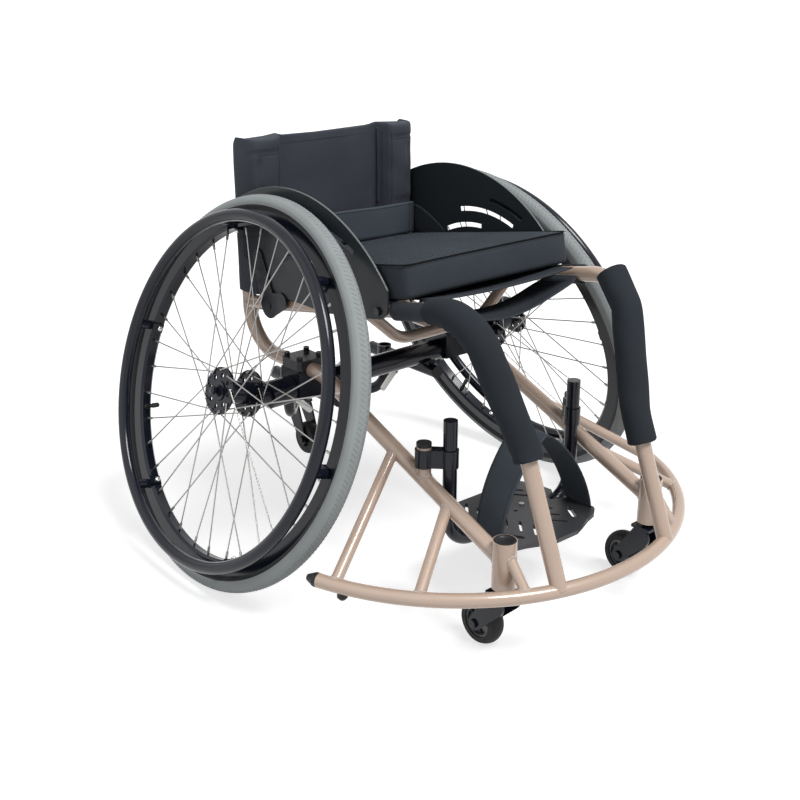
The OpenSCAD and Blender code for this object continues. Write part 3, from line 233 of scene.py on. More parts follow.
def skin(name, rows, finishes, around=False, along=False, capped=False, paint=None):
    """Quads over rows of points. around joins each row's ends, along joins the last row to the first."""
    n, m = len(rows), len(rows[0])
    wide, deep = m - 1 + around, n - 1 + along
    across = distances(sum((row[(j + 1) % m] - row[j]).length for row in rows) / n * MM for j in range(wide))
    pairs = zip(rows, rows[1:] + rows[:along])
    down = distances(sum((q - p).length for p, q in zip(*pair)) / m * MM for pair in pairs)
    faces, corners, colours = [], [], []
    for i in range(deep):
        for j in range(wide):
            a, b = (i + 1) % n, (j + 1) % m
            faces.append((i * m + j, i * m + b, a * m + b, a * m + j))
            corners.append([
                (across[j], down[i]), (across[j + 1], down[i]),
                (across[j + 1], down[i + 1]), (across[j], down[i + 1]),
            ])
            colours.append(paint(j) if paint else 0)
    if capped:
        for i, order in ((0, range(m - 1, -1, -1)), (n - 1, range(m))):
            faces.append(tuple(i * m + j for j in order))
            corners.append([(across[j], down[i]) for j in order])
            colours.append(colours[-1])
    verts = [p for row in rows for p in row]
    return add_piece(name, verts, faces, finishes, corners, colours, closed=around)


# Nodes
def feed(tree, made, feeds):
    """Links or sets each input of a node."""
    for key, value in feeds.items():
        if isinstance(value, bpy.types.NodeSocket):
            tree.links.new(value, made.inputs[key])
        else:
            made.inputs[key].default_value = value


def node(tree, kind, feeds=None, **settings):
    made = tree.nodes.new(kind)
    for key, value in settings.items():
        setattr(made, key, value)
    feed(tree, made, feeds or {})
    return made


# Repeated details on marks, by Geometry Nodes
MARK_SIZES = ("Length", "Width", "Height")
SHAPES = {
    "bead": ("GeometryNodeMeshIcoSphere", {"Radius": 0.5, "Subdivisions": 2}),
    "bar": ("GeometryNodeMeshCube", {}),
}


def marks_tree(name, shape, finish):
    """Sets one small shape on every mark, turned to the mark's own directions."""
    tree = bpy.data.node_groups.new(name, "GeometryNodeTree")
    socket = tree.interface.new_socket
    socket("Geometry", in_out="INPUT", socket_type="NodeSocketGeometry")
    for size in MARK_SIZES:
        socket(size, in_out="INPUT", socket_type="NodeSocketFloat")
    socket("Geometry", in_out="OUTPUT", socket_type="NodeSocketGeometry")
    given = node(tree, "NodeGroupInput").outputs
    body = node(tree, *SHAPES[shape]).outputs["Mesh"]
    sizes = node(tree, "ShaderNodeCombineXYZ", {axis: given[size] for axis, size in zip("XYZ", MARK_SIZES)})
    scaled = node(tree, "GeometryNodeTransform", {"Geometry": body, "Scale": sizes.outputs["Vector"]})
    points = node(tree, "GeometryNodeMeshToPoints", {"Mesh": given["Geometry"]})
    turned = {}
    for axis, pivot, direction in (("X", "AUTO", "along"), ("Z", "X", "out")):
        read = node(tree, "GeometryNodeInputNamedAttribute", {"Name": direction}, data_type="FLOAT_VECTOR")
        feeds = {"Vector": read.outputs["Attribute"], **turned}
        align = node(tree, "FunctionNodeAlignRotationToVector", feeds, axis=axis, pivot_axis=pivot)
        turned = {"Rotation": align.outputs["Rotation"]}
    made = node(tree, "GeometryNodeInstanceOnPoints", {
        "Points": points.outputs["Points"], "Instance": scaled.outputs["Geometry"], **turned,
    })
    for kind, settings in (
        ("GeometryNodeRealizeInstances", {}),
        ("GeometryNodeSetShadeSmooth", {"Shade Smooth": shape == "bead"}),
        ("GeometryNodeSetMaterial", {"Material": finish}),
        ("NodeGroupOutput", {}),
    ):
        made = node(tree, kind, {"Geometry": made.outputs[0], **settings})
    return tree


def set_out(name, marks, shape, size, finish):
    """A plain mesh of one shape repeated on marks. A mark is a place, a direction along and one out."""
    mesh = bpy.data.meshes.new(name)
    mesh.from_pydata([to_row(p) for p, _, _ in marks], [], [])
    for k, direction in ((1, "along"), (2, "out")):
        layer = mesh.attributes.new(direction, "FLOAT_VECTOR", "POINT")
        for item, mark in zip(layer.data, marks):
            item.vector = mark[k]
    piece = bpy.data.objects.new(name, mesh)
    bpy.context.scene.collection.objects.link(piece)
    tree = marks_tree(name + "_marks", shape, FINISHES[finish])
    repeat = piece.modifiers.new("Repeat", "NODES")
    repeat.node_group = tree
    for socket in tree.interface.items_tree:
        if socket.name in MARK_SIZES:
            repeat[socket.identifier] = size[MARK_SIZES.index(socket.name)]
    graph = bpy.context.evaluated_depsgraph_get()
    solid = bpy.data.meshes.new_from_object(piece.evaluated_get(graph))
    piece.modifiers.remove(repeat)
    piece.data = solid
    for direction in ("along", "out"):
        if direction in solid.attributes:
            solid.attributes.remove(solid.attributes[direction])
    bpy.data.meshes.remove(mesh)
    return piece


def row_of_marks(path, step, out, closed=False):
    """Marks at an even step along a path. out gives the direction off the surface at a place."""
    points = spaced(path, step, closed)
    marks = []
    for i, p in enumerate(points):
        after = points[(i + 1) % len(points)] if closed else points[min(i + 1, len(points) - 1)]
        before = points[i - 1] if closed or i else p
        marks.append((p, (after - before).normalized(), out(p)))
    return marks


# Finishes
FINISHES = {}
NOISE_LOW, NOISE_HIGH = 0.3, 0.7
PATCH_DETAIL, PATCH_SHARE = 5.0, 0.6
GRAIN_DETAIL, GRAIN_SHARE, GRAIN_DEEP = 3.0, 0.4, 0.0006
GLOSS_LOW, GLOSS_HIGH = 0.88, 1.14
RUB_PATCH, RUB_DETAIL, RUBBED = 11.0, 6.0, 0.10
FUZZ, FUZZ_DETAIL, FUZZ_SHARE, YARN_DEEP = 1400.0, 2.0, 0.5, 0.25
# The tread bars are darker than the tyre's grey: painted shade for the shade inside the tread's cut nicks.
WELD_SHADE, TREAD_PAINTED_SHADE = 0.85, 0.87


def math_node(tree, operation, *values):
    return node(tree, "ShaderNodeMath", dict(enumerate(values)), operation=operation).outputs[0]


def noise(tree, scale, detail):
    place = node(tree, "ShaderNodeTexCoord").outputs["Object"]
    feeds = {"Vector": place, "Scale": scale, "Detail": detail}
    return node(tree, "ShaderNodeTexNoise", feeds).outputs["Fac"]


def tones(tree, factor, colour, spread):
    ramp = node(tree, "ShaderNodeValToRGB", {"Fac": factor})
    low, high = ramp.color_ramp.elements
    low.position, high.position = NOISE_LOW, NOISE_HIGH
    low.color = (*[c * (1 - spread) for c in colour], 1)
    high.color = (*[min(1, c * (1 + spread)) for c in colour], 1)
    return ramp.outputs["Color"]


def swing(tree, factor, low, high):
    """A noise's usual spread, brought to a range."""
    return node(tree, "ShaderNodeMapRange", {
        "Value": factor, "From Min": NOISE_LOW, "From Max": NOISE_HIGH, "To Min": low, "To Max": high,
    }).outputs["Result"]


def bumps(tree, height, lift, deep):
    feeds = {"Height": height, "Strength": lift, "Distance": deep}
    return node(tree, "ShaderNodeBump", feeds).outputs["Normal"]


def new_finish(name):
    finish = bpy.data.materials.new(name)
    finish.use_nodes = True
    return finish, finish.node_tree, finish.node_tree.nodes["Principled BSDF"]


def hard_finish(
    name, colour, rough, metal=0.0, spread=0.08, patch=14.0, grain=900.0, lift=0.06, shine=0.5, **coat
):
    """Paint, metal, plastic or rubber: soft patches of tone, uneven gloss and a fine grain."""
    finish, tree, shader = new_finish(name)
    clouds, fine = noise(tree, patch, PATCH_DETAIL), noise(tree, grain, GRAIN_DETAIL)
    grains = math_node(tree, "MULTIPLY", fine, GRAIN_SHARE)
    mixed = math_node(tree, "MULTIPLY_ADD", clouds, PATCH_SHARE, grains)
    feed(tree, shader, {
        "Base Color": tones(tree, mixed, colour, spread),
        "Roughness": swing(tree, clouds, rough * GLOSS_LOW, min(1.0, rough * GLOSS_HIGH)),
        "Metallic": metal,
        "Specular IOR Level": shine,
        "Normal": bumps(tree, fine, lift, GRAIN_DEEP),
        **{"Coat " + key: value for key, value in coat.items()},
    })
    return finish


def woven_finish(name, colour, pitch, rough=0.7, spread=0.25, lift=0.5, ribs=1.0, shine=0.16):
    """Cloth: crossing yarns on the piece's own map and soft rubbed patches."""
    finish, tree, shader = new_finish(name)
    chart = node(tree, "ShaderNodeUVMap", uv_map="cloth").outputs["UV"]
    parts = node(tree, "ShaderNodeSeparateXYZ", {"Vector": chart}).outputs
    waves = [
        math_node(tree, "SINE", math_node(tree, "MULTIPLY", parts[axis], FULL_TURN / (pitch * share)))
        for axis, share in (("X", 1.0), ("Y", ribs))
    ]
    yarn = math_node(tree, "MULTIPLY_ADD", math_node(tree, "MULTIPLY", *waves), 0.5, 0.5)
    rubbed = swing(tree, noise(tree, RUB_PATCH, RUB_DETAIL), 1 - RUBBED, 1 + RUBBED)
    shaded = {0: tones(tree, yarn, colour, spread), "Scale": rubbed}
    height = math_node(tree, "MULTIPLY_ADD", noise(tree, FUZZ, FUZZ_DETAIL), FUZZ_SHARE, yarn)
    feed(tree, shader, {
        "Base Color": node(tree, "ShaderNodeVectorMath", shaded, operation="SCALE").outputs["Vector"],
        "Roughness": rough,
        "Specular IOR Level": shine,
        "Normal": bumps(tree, height, lift, pitch * YARN_DEEP),
    })
    return finish


def make_finishes(colours):
    paint, tyre = colours.frame_paint, colours.tyre
    weld, tread = [c * WELD_SHADE for c in paint], [c * TREAD_PAINTED_SHADE for c in tyre]
    coat = {"Weight": 1.0, "Roughness": 0.07, "Tint": (0.88, 0.78, 0.70, 1.0)}
    for key, name, colour, rough, more in (
        ("frame_paint", "Champagne satin paint", paint, 0.34,
         dict(metal=0.04, spread=0.04, grain=2600.0, lift=0.01, **coat)),
        ("weld", "Painted weld", weld, 0.24, dict(metal=0.04, spread=0.06, grain=1600.0)),
        ("black_paint", "Gloss black paint", (0.007, 0.009, 0.017), 0.16,
         dict(spread=0.12, grain=700.0, lift=0.02, shine=0.32)),
        ("grey_metal", "Black anodised aluminium", (0.022, 0.023, 0.026), 0.36,
         dict(metal=0.3, grain=2200.0, lift=0.10, shine=0.4)),
        ("steel", "Drawn steel", (0.46, 0.455, 0.44), 0.28, dict(metal=1.0, spread=0.06)),
        ("wire", "Spoke wire", (0.36, 0.355, 0.345), 0.34, dict(metal=1.0)),
        ("bolt", "Bright bolt", (0.66, 0.66, 0.65), 0.2, dict(metal=1.0, spread=0.05)),
        ("tyre_grey", "Pale grey rubber", tyre, 0.70,
         dict(spread=0.10, patch=22.0, grain=500.0, lift=0.18, shine=0.25)),
        ("tyre_wall", "Black side wall", (0.012, 0.013, 0.015), 0.55,
         dict(spread=0.15, grain=500.0, lift=0.12, shine=0.25)),
        # Tread bars: the tyre grey darkened as painted shade of the cut nicks.
        ("tread", "Tread rubber", tread, 0.75, dict(spread=0.12, lift=0.2, shine=0.2)),
        ("caster_black", "Caster rubber", (0.016, 0.016, 0.018), 0.6, dict(spread=0.2, lift=0.2, shine=0.25)),
        ("caster_core", "Caster core", (0.10, 0.103, 0.108), 0.38, dict(metal=0.4, spread=0.12, lift=0.1)),
        ("guard_black", "Moulded guard", colours.guard, 0.20,
         dict(spread=0.06, patch=6.0, grain=1500.0, lift=0.03, shine=0.17)),
        ("plug_black", "Plug plastic", (0.014, 0.014, 0.016), 0.45, dict(spread=0.15, lift=0.15, shine=0.3)),
        ("foam", "Foam sleeve", colours.foam, 0.9,
         dict(spread=0.18, patch=16.0, grain=1900.0, lift=0.5, shine=0.12)),
        ("plate", "Satin foot plate", (0.048, 0.050, 0.055), 0.34,
         dict(metal=0.2, spread=0.12, grain=1800.0, lift=0.08, shine=0.45)),
        ("thread", "Black thread", (0.010, 0.010, 0.011), 0.8, dict(spread=0.2, lift=0.2, shine=0.1)),
        # Painted highlight: a pale grey that stands in for the light caught along the side guards' top edges.
        ("painted_highlight_edge", "Cut edge of the guard", (0.14, 0.15, 0.155), 0.3, dict(spread=0.1, lift=0.05)),
    ):
        FINISHES[key] = hard_finish(name, colour, rough, **more)
    for key, name, pitch, more in (
        ("nylon", "Charcoal nylon", 0.0026, dict(rough=0.72, spread=0.3)),
        ("sling", "Sling cloth", 0.0022, dict(shine=0.2)),
        ("boxing", "Cushion side cloth", 0.0018, dict(rough=0.75)),
        ("mesh_cloth", "Spacer mesh", 0.0064, dict(rough=0.78, spread=0.8, lift=1.0, ribs=0.6, shine=0.15)),
        ("webbing", "Webbing", 0.0030, dict(spread=0.3, lift=0.6, ribs=0.5, shine=0.18)),
        ("band", "Waist band cloth", 0.0024, dict(shine=0.18)),
    ):
        FINISHES[key] = woven_finish(name, getattr(colours, key), pitch, **more)


# Pieces on their bodies
def dress(piece, body, slot, *nodes):
    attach(piece, body)
    if nodes:
        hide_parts(*nodes)
    return piece


def round_piece(name, rows, finish, body, slot, *nodes, **ends):
    """A closed piece made of rings."""
    return dress(skin(name, rows, [finish], around=True, **ends), body, slot, *nodes)


def cloth_piece(name, rows, finish, thick, body, *nodes):
    """A sheet with some thickness, half on either side of its rows."""
    piece = skin(name, rows, [finish])
    wall = piece.modifiers.new("Solidify", "SOLIDIFY")
    wall.thickness = thick * MM
    wall.offset = 0
    return dress(piece, body, "nylon", *nodes)


def length_of(rows, column):
    return sum((b[column] - a[column]).length for a, b in zip(rows, rows[1:])) * MM


def sew(name, lines, out, sizes, body="frame", closed=False, lift=0.0):
    """Stitches along lines. out gives the direction off the cloth at a place."""
    marks = []
    for line in lines:
        for p, along, off in row_of_marks(line, sizes.stitch_step / MM, out, closed):
            marks.append((p + off * lift, along, off))
    size = (sizes.stitch, sizes.thread, sizes.thread)
    dress(set_out(name, marks, "bead", size, "thread"), body, "nylon")


COVER_CLOTH = {
    "quality": 6, "mass": 0.25, "bending_stiffness": 0.4,
    "tension_stiffness": 12, "compression_stiffness": 12, "use_pressure": True,
}


def swell(piece, fixed, pressure, cap, frames=20):
    """Air pressed into a sewn cover by a cloth simulation. Seams stay put and no point moves past cap."""
    scene = bpy.context.scene
    group = piece.vertex_groups.new(name="seams")
    group.add(fixed, 1.0, "REPLACE")
    cloth = piece.modifiers.new("Cloth", "CLOTH")
    for key, value in COVER_CLOTH.items():
        setattr(cloth.settings, key, value)
    cloth.settings.vertex_group_mass = group.name
    cloth.settings.uniform_pressure_force = pressure
    cloth.settings.effector_weights.gravity = 0
    cloth.point_cache.frame_start = 1
    cloth.point_cache.frame_end = frames
    for step in range(1, frames + 1):
        scene.frame_set(step)
    graph = bpy.context.evaluated_depsgraph_get()
    blown = [v.co.copy() for v in piece.evaluated_get(graph).data.vertices]
    piece.modifiers.remove(cloth)
    for v, place in zip(piece.data.vertices, blown):
        move = place - v.co
        if move.length > cap:
            move.length = cap
        v.co += move
    piece.vertex_groups.clear()
    scene.frame_set(1)


# What a user would change
def tint(name, note, default):
    return bpy.props.FloatVectorProperty(
        name=name, description=note, subtype="COLOR", size=3, min=0, max=1, default=default)


def metres(name, note, default):
    return bpy.props.FloatProperty(name=name, description=note, unit="LENGTH", default=default)


class ChairColours(bpy.types.PropertyGroup):
    """Colours of the chair, as linear light."""
    frame_paint: tint("Frame paint", "Satin paint of the tubes", (0.58, 0.495, 0.44))
    tyre: tint("Tyre", "Rubber of the rear tyres", (0.31, 0.333, 0.336))
    guard: tint("Side guard", "Moulded side guards", (0.034, 0.041, 0.046))
    nylon: tint("Nylon", "Cloth of the backrest", (0.055, 0.061, 0.076))
    sling: tint("Sling", "Cloth of the sling, the calf strap and the waist flaps", (0.034, 0.040, 0.048))
    boxing: tint("Cushion side", "Cloth of the cushion's sides", (0.040, 0.047, 0.057))
    mesh_cloth: tint("Cushion top", "Spacer mesh of the cushion's top", (0.044, 0.054, 0.066))
    webbing: tint("Heel strap", "Webbing of the heel strap", (0.050, 0.061, 0.074))
    band: tint("Waist band", "Cloth of the waist strap", (0.070, 0.085, 0.104))
    foam: tint("Foam", "Foam sleeves on the legs", (0.029, 0.034, 0.041))
    floor: tint("Floor", "Studio floor", (0.58, 0.58, 0.58))


class ChairSizes(bpy.types.PropertyGroup):
    """Sizes of the small details."""
    tread_length: metres("Tread bar", "Length of a tread bar", 0.0085)
    tread_width: metres("Tread bar width", "Width of a tread bar", 0.0018)
    tread_height: metres("Tread bar height", "Height of a tread bar, most of it sunk", 0.0020)
    tread_slant: bpy.props.FloatProperty(
        name="Tread slant", description="Turn of a tread bar off the rolling direction",
        subtype="ANGLE", default=radians(52))
    stitch: metres("Stitch", "Length of one stitch", 0.0034)
    stitch_step: metres("Stitch step", "Distance between stitches", 0.0046)
    thread: metres("Thread", "Thickness of the thread", 0.0008)
    weld_step: metres("Weld step", "Distance between the ripples of a weld", 0.0021)
    weld_width: metres("Weld width", "Width of a weld bead", 0.0050)
    cushion_swell: metres("Cushion swell", "Most that the cushion's cover may swell", 0.005)
    rest_swell: metres("Backrest swell", "Most that the backrest's cover may swell", 0.004)


class CHAIR_OT_finishes(bpy.types.Operator):
    """Makes the finishes and paints every rigid part"""
    bl_idname = "chair.finishes"
    bl_label = "Paint the rigid parts"

    own = {
        "footplate": "plate", "spokes_right": "wire", "spokes_left": "wire",
        "hub_bearings_right": "grey_metal", "hub_bearings_left": "grey_metal",
    }

    def execute(self, context):
        make_finishes(context.scene.chair_colours)
        for part in frame["record"]["subparts"]:
            shape = frame["nodes"][part["node"]]
            if not shape.material_slots:
                shape.data.materials.append(None)
            for holder in shape.material_slots:
                holder.material = FINISHES[self.own.get(part["node"], part["material_slot"])]
        return {"FINISHED"}


class CHAIR_OT_tyres(bpy.types.Operator):
    """Rear tyres with moulded rings, slanted tread bars, valve stems and tab bolts"""
    bl_idname = "chair.tyres"
    bl_label = "Rear tyres"

    around, profile = 192, 56
    bead_turn, wall_turn = radians(141), radians(102)
    skin_in, ring_rise = 0.35, 0.3
    rings = ((radians(78), 0.05), (radians(54), 0.05))
    bars, bar_shift, bar_lean, bar_rise = 252, 0.25, radians(21), 0.2
    bolts, bolt_first, bolt_seat = 6, radians(-9.5), -3.0
    bolt_steps = ((-0.5, 4.4), (1.8, 4.4), (3.0, 3.6), (3.7, 2.0), (3.9, 0.2))
    valve_turns, valve_seat = {RIGHT: radians(201), LEFT: radians(129)}, 1.0
    valve_steps = (
        (0, 0.2), (0, 4.5), (2.5, 4.5), (2.5, 3), (8, 3), (8, 3.4),
        (22, 3.4), (22, 4.3), (36, 4.3), (38, 3.4), (38, 0.2),
    )

    def tyre_rows(self, side):
        section = []
        for k in range(self.profile + 1):
            a = self.bead_turn * (2 * k / self.profile - 1)
            ring = sum(hump(abs(a), at, wide) for at, wide in self.rings) * self.ring_rise
            r = TYRE_R - self.skin_in + ring
            section.append((TYRE_MID_R + r * cos(a), r * sin(a)))
        return [[wheel_point(side, reach, t, out) for reach, out in section] for t in turns_of(self.around)]

    def on_wall(self, k):
        """One for the faces of the profile that lie past the grey tread band."""
        middle = self.bead_turn * ((2 * k + 1) / self.profile - 1)
        return int(abs(middle) > self.wall_turn)

    def bar_marks(self, side, sizes):
        marks, slant = [], sizes.tread_slant
        r = TYRE_R - self.skin_in + self.bar_rise - sizes.tread_height / MM / 2
        for flank in (-1, 1):
            for i in range(self.bars):
                turn = FULL_TURN * (i + self.bar_shift * flank) / self.bars
                a = flank * self.bar_lean
                centre = wheel_point(side, TYRE_MID_R, turn, 0)
                place = wheel_point(side, TYRE_MID_R + r * cos(a), turn, r * sin(a))
                ahead = wheel_point(side, TYRE_MID_R, turn + FULL_TURN / self.bars, 0)
                rolling, out = (ahead - centre).normalized(), (place - centre).normalized()
                along = rolling * cos(slant) + out.cross(rolling) * (sin(slant) * flank)
                marks.append((place, along, out))
        return marks

    def stud(self, name, side, turn, seat, steps, finish, slot):
        """A turned piece on the rim's inner face that points at the hub."""
        base = wheel_point(side, RIM_IN_R + seat, turn, 0)
        rows = lathe_rows(base, wheel_point(side, 0, 0, 0) - base, steps)
        round_piece(name, rows, finish, "wheel_" + SIDES[side], slot, capped=True)

    def execute(self, context):
        sizes = context.scene.chair_sizes
        size = (sizes.tread_length, sizes.tread_width, sizes.tread_height)
        rubber = ("tyre_grey", "tyre_wall")
        for side, name in SIDES.items():
            body, rows = "wheel_" + name, self.tyre_rows(side)
            tyre = skin("tyre_rubber_" + name, rows, rubber, around=True, along=True, paint=self.on_wall)
            dress(tyre, body, "tyre_grey", "tyre_" + name)
            # The bars carry the darker tread colour, painted shade of the tread nicks.
            bars = set_out("tread_bars_" + name, self.bar_marks(side, sizes), "bar", size, "tread")
            dress(bars, body, "tyre_grey")
            self.stud(
                "valve_stem_" + name, side, self.valve_turns[side], self.valve_seat, self.valve_steps,
                "plug_black", "plug_black",
            )
            for i, turn in enumerate(turns_of(self.bolts), 1):
                self.stud(
                    f"tab_bolt_{name}_{i}", side, self.bolt_first + turn, self.bolt_seat, self.bolt_steps,
                    "bolt", "steel",
                )
        return {"FINISHED"}


class CHAIR_OT_welds(bpy.types.Operator):
    """Rippled weld beads where one tube is set against another"""
    bl_idname = "chair.welds"
    bl_label = "Welds"

    line_steps = 48
    foot_share, rail_share = 0.86, 0.97
    bead_lap, bead_flat, bead_lean = 1.5, 0.5, 0.6

    def saddle(self, inner, outer, r, axis_point, axis, main_r):
        """The closed line where a bar that runs from inner to outer comes out of a round tube."""
        heading = (outer - inner).normalized()
        axis = axis.normalized()
        side = heading.orthogonal().normalized()
        slant = heading - axis * heading.dot(axis)
        line = []
        for start in hoop(inner, side, heading.cross(side), r, turns_of(self.line_steps)):
            away = start - axis_point
            away = away - axis * away.dot(axis)
            a, b, c = slant.dot(slant), 2 * away.dot(slant), away.dot(away) - main_r**2
            inside = b * b - 4 * a * c
            if inside >= 0:
                line.append(start + heading * ((-b + sqrt(inside)) / (2 * a)))
        return line

    def joints(self):
        """A bar's inner end, outer end and radius, then the place, axis and radius of its tube."""
        centre = Vector((BOW_X, 0, BOW_Z))

        def on_bow(low, top, r):
            return low, top, r, low, UP.cross(low - centre), BOW_TUBE_R

        for s in SIDES:
            knuckle, nose = Vector((KNUCKLE_X, s * FRAME_Y, SIDE_Z)), Vector((CASTER_X, s * FRAME_Y, NOSE_Z))
            side_tube = knuckle, nose - knuckle, TUBE_R
            rail, knee, shin, foot = rail_corners(s)
            head = Vector((CASTER_X, s * FRAME_Y, HEAD_LOW))
            for x, degrees in STRUTS:
                top, low = Vector((x, s * FRAME_Y, side_height(x))), bow_point(s, degrees)
                yield top, low, STRUT_R, *side_tube
                yield on_bow(low, top, STRUT_R)
            top, low = head + UP * (HEAD_H * HEAD_STRUT_SHARE), bow_point(s, HEAD_STRUT_TURN)
            yield top, low, HEAD_STRUT_R, head, UP, HEAD_R
            yield on_bow(low, top, HEAD_STRUT_R)
            yield on_bow(foot, shin, TUBE_R * self.foot_share)
            yield nose, knuckle, TUBE_R, head, UP, HEAD_R
            yield rail, knee, TUBE_R * self.rail_share, rail, UP, TUBE_R
            stub = Vector((STUB_X, s * FRAME_Y, side_height(STUB_X)))
            yield stub, stub + UP, STUB_R, *side_tube
            cross_top = Vector((CROSS_X, s * FRAME_Y, rail_height(CROSS_X)))
            cross_low = Vector((CROSS_X, s * CROSS_IN_Y, rail_height(CROSS_X) - CROSS_DROP))
            yield cross_top, cross_low, CROSS_R, rail, knee - rail, TUBE_R

    def execute(self, context):
        sizes = context.scene.chair_sizes
        marks = []
        for inner, outer, *rest in self.joints():
            line = self.saddle(inner, outer, *rest)
            middle = sum(line, Vector()) / len(line)
            heading = (outer - inner).normalized()

            def out(p):
                away = p - middle
                return (away - heading * away.dot(heading)).normalized() + heading * self.bead_lean

            marks += row_of_marks(line, sizes.weld_step / MM, out, closed=True)
        size = (sizes.weld_step * self.bead_lap, sizes.weld_width, sizes.weld_width * self.bead_flat)
        dress(set_out("weld_beads", marks, "bead", size, "weld"), "frame", "frame_paint")
        return {"FINISHED"}


class CHAIR_OT_head_cups(bpy.types.Operator):
    """Black dust cups in the tops of the two caster heads"""
    bl_idname = "chair.head_cups"
    bl_label = "Caster head cups"

    around = 40
    profile = (
        (-2.6, 0.2), (-2.6, 12.0), (-0.4, 13.4), (0.3, 14.4), (0.5, 16.4),
        (0.0, 16.9), (-0.3, 13.9), (-3.2, 13.4), (-3.2, 0.2),
    )

    def execute(self, context):
        for side, name in SIDES.items():
            top = Vector((CASTER_X, side * FRAME_Y, HEAD_LOW + HEAD_H))
            rows = lathe_rows(top, UP, self.profile, self.around)
            round_piece("head_cup_" + name, rows, "plug_black", "frame", "plug_black", capped=True)
        return {"FINISHED"}


class CHAIR_OT_cushion(bpy.types.Operator):
    """Box cushion with a mesh top, plain sides, a corded seam and stitches"""
    bl_idname = "chair.cushion"
    bl_label = "Seat cushion"

    steps = (46, 40, 6)
    square, crown_power = 28, 5
    top_rise, rear_rise, front_lift = 3.5, 4.0, 3.5
    pressure, fill = 3.5, 0.85
    cord_r, cord_around, cord_step, stitch_drop = 1.2, 8, 5.0, 4.2
    corners, side_steps = ((-1, -1), (1, -1), (1, 1), (-1, 1)), 60

    def outline(self, u, v):
        """Place on the cushion's plan for shares from -1 to 1, with soft corners and drawn-in sides."""
        most = max(abs(u), abs(v))
        if most:
            k = most / (abs(u) ** self.square + abs(v) ** self.square) ** (1 / self.square)
            u, v = u * k, v * k
        return (
            CUSHION_START + CUSHION_L / 2 + u * (CUSHION_L / 2 - CUSHION_DRAW * (1 - v * v)),
            v * (CUSHION_W / 2 - CUSHION_DRAW * (1 - u * u)),
        )

    def place(self, i, j, k):
        nx, ny, nz = self.steps
        u, v, h = 2 * i / nx - 1, 2 * j / ny - 1, k / nz
        along, across = self.outline(u, v)
        up = CUSHION_LOW + h * (CUSHION_H + self.top_rise + self.rear_rise * (1 - u) / 2)
        if k == nz:
            up += CUSHION_CROWN * (1 - abs(u) ** self.crown_power) * (1 - abs(v) ** self.crown_power)
        if k == 0 and i == nx:
            up += self.front_lift
        return seat_point(along, across, up)

    def on_edge(self, along, across, drop=0.0):
        rear = self.rear_rise * (1 - (along - CUSHION_START) / CUSHION_L)
        return seat_point(along, across, CUSHION_LOW + CUSHION_H + self.top_rise + rear - drop)

    def cover(self):
        """Panels of the cover with their cloth maps, and the points that its seams hold."""
        nx, ny, nz = self.steps
        index, verts, faces, corners, paint, seams = {}, [], [], [], [], []

        def vertex(i, j, k):
            if (i, j, k) not in index:
                index[i, j, k] = len(verts)
                verts.append(self.place(i, j, k))
                edges = (i in (0, nx)) + (j in (0, ny)) + (k in (0, nz))
                if edges > 1 or k == 0:
                    seams.append(index[i, j, k])
            return index[i, j, k]

        def panel(wide, deep, at, size, colour):
            for a in range(wide):
                for b in range(deep):
                    square = [(a, b), (a + 1, b), (a + 1, b + 1), (a, b + 1)]
                    faces.append([vertex(*at(*c)) for c in square])
                    corners.append([(p * size[0], q * size[1]) for p, q in square])
                    paint.append(colour)

        dx, dy, dz = CUSHION_L / nx * MM, CUSHION_W / ny * MM, CUSHION_H / nz * MM
        for k, colour in ((0, 1), (nz, 0)):
            panel(nx, ny, lambda a, b, k=k: (a, b, k), (dx, dy), colour)
        for j in (0, ny):
            panel(nx, nz, lambda a, b, j=j: (a, j, b), (dx, dz), 1)
        for i in (0, nx):
            panel(ny, nz, lambda a, b, i=i: (i, a, b), (dy, dz), 1)
        return add_piece("cushion_cover", verts, faces, ("mesh_cloth", "boxing"), corners, paint), seams

    def execute(self, context):
        sizes = context.scene.chair_sizes
        cushion, seams = self.cover()
        swell(cushion, seams, self.pressure, sizes.cushion_swell)
        smooth = cushion.modifiers.new("Subdivision", "SUBSURF")
        smooth.levels = smooth.render_levels = 1
        dress(cushion, "frame", "mesh_cloth", "seat_cushion")

        rim = []
        for (u0, v0), (u1, v1) in zip(self.corners, self.corners[1:] + self.corners[:1]):
            for k in range(self.side_steps):
                share = k / self.side_steps
                rim.append(self.outline(mix(u0, u1, share), mix(v0, v1, share)))
        centre = seat_point(CUSHION_START + CUSHION_L / 2, 0, CUSHION_LOW + CUSHION_H)
        upright = (seat_point(0, 0, 1) - seat_point(0, 0, 0)).normalized()
        edge = spaced([self.on_edge(a, b) for a, b in rim], self.cord_step, closed=True)
        turns, cord = turns_of(self.cord_around), []
        for i, p in enumerate(edge):
            along = (edge[(i + 1) % len(edge)] - edge[i - 1]).normalized()
            cord.append(hoop(p, along.cross(upright).normalized(), upright, self.cord_r, turns))
        round_piece("cushion_seam", cord, "thread", "frame", "nylon", along=True)

        def out(p):
            away = p - centre
            return (away - upright * away.dot(upright)).normalized()

        line = [self.on_edge(a, b, self.stitch_drop) for a, b in rim]
        sew("cushion_stitches", [line], out, sizes, closed=True)
        return {"FINISHED"}


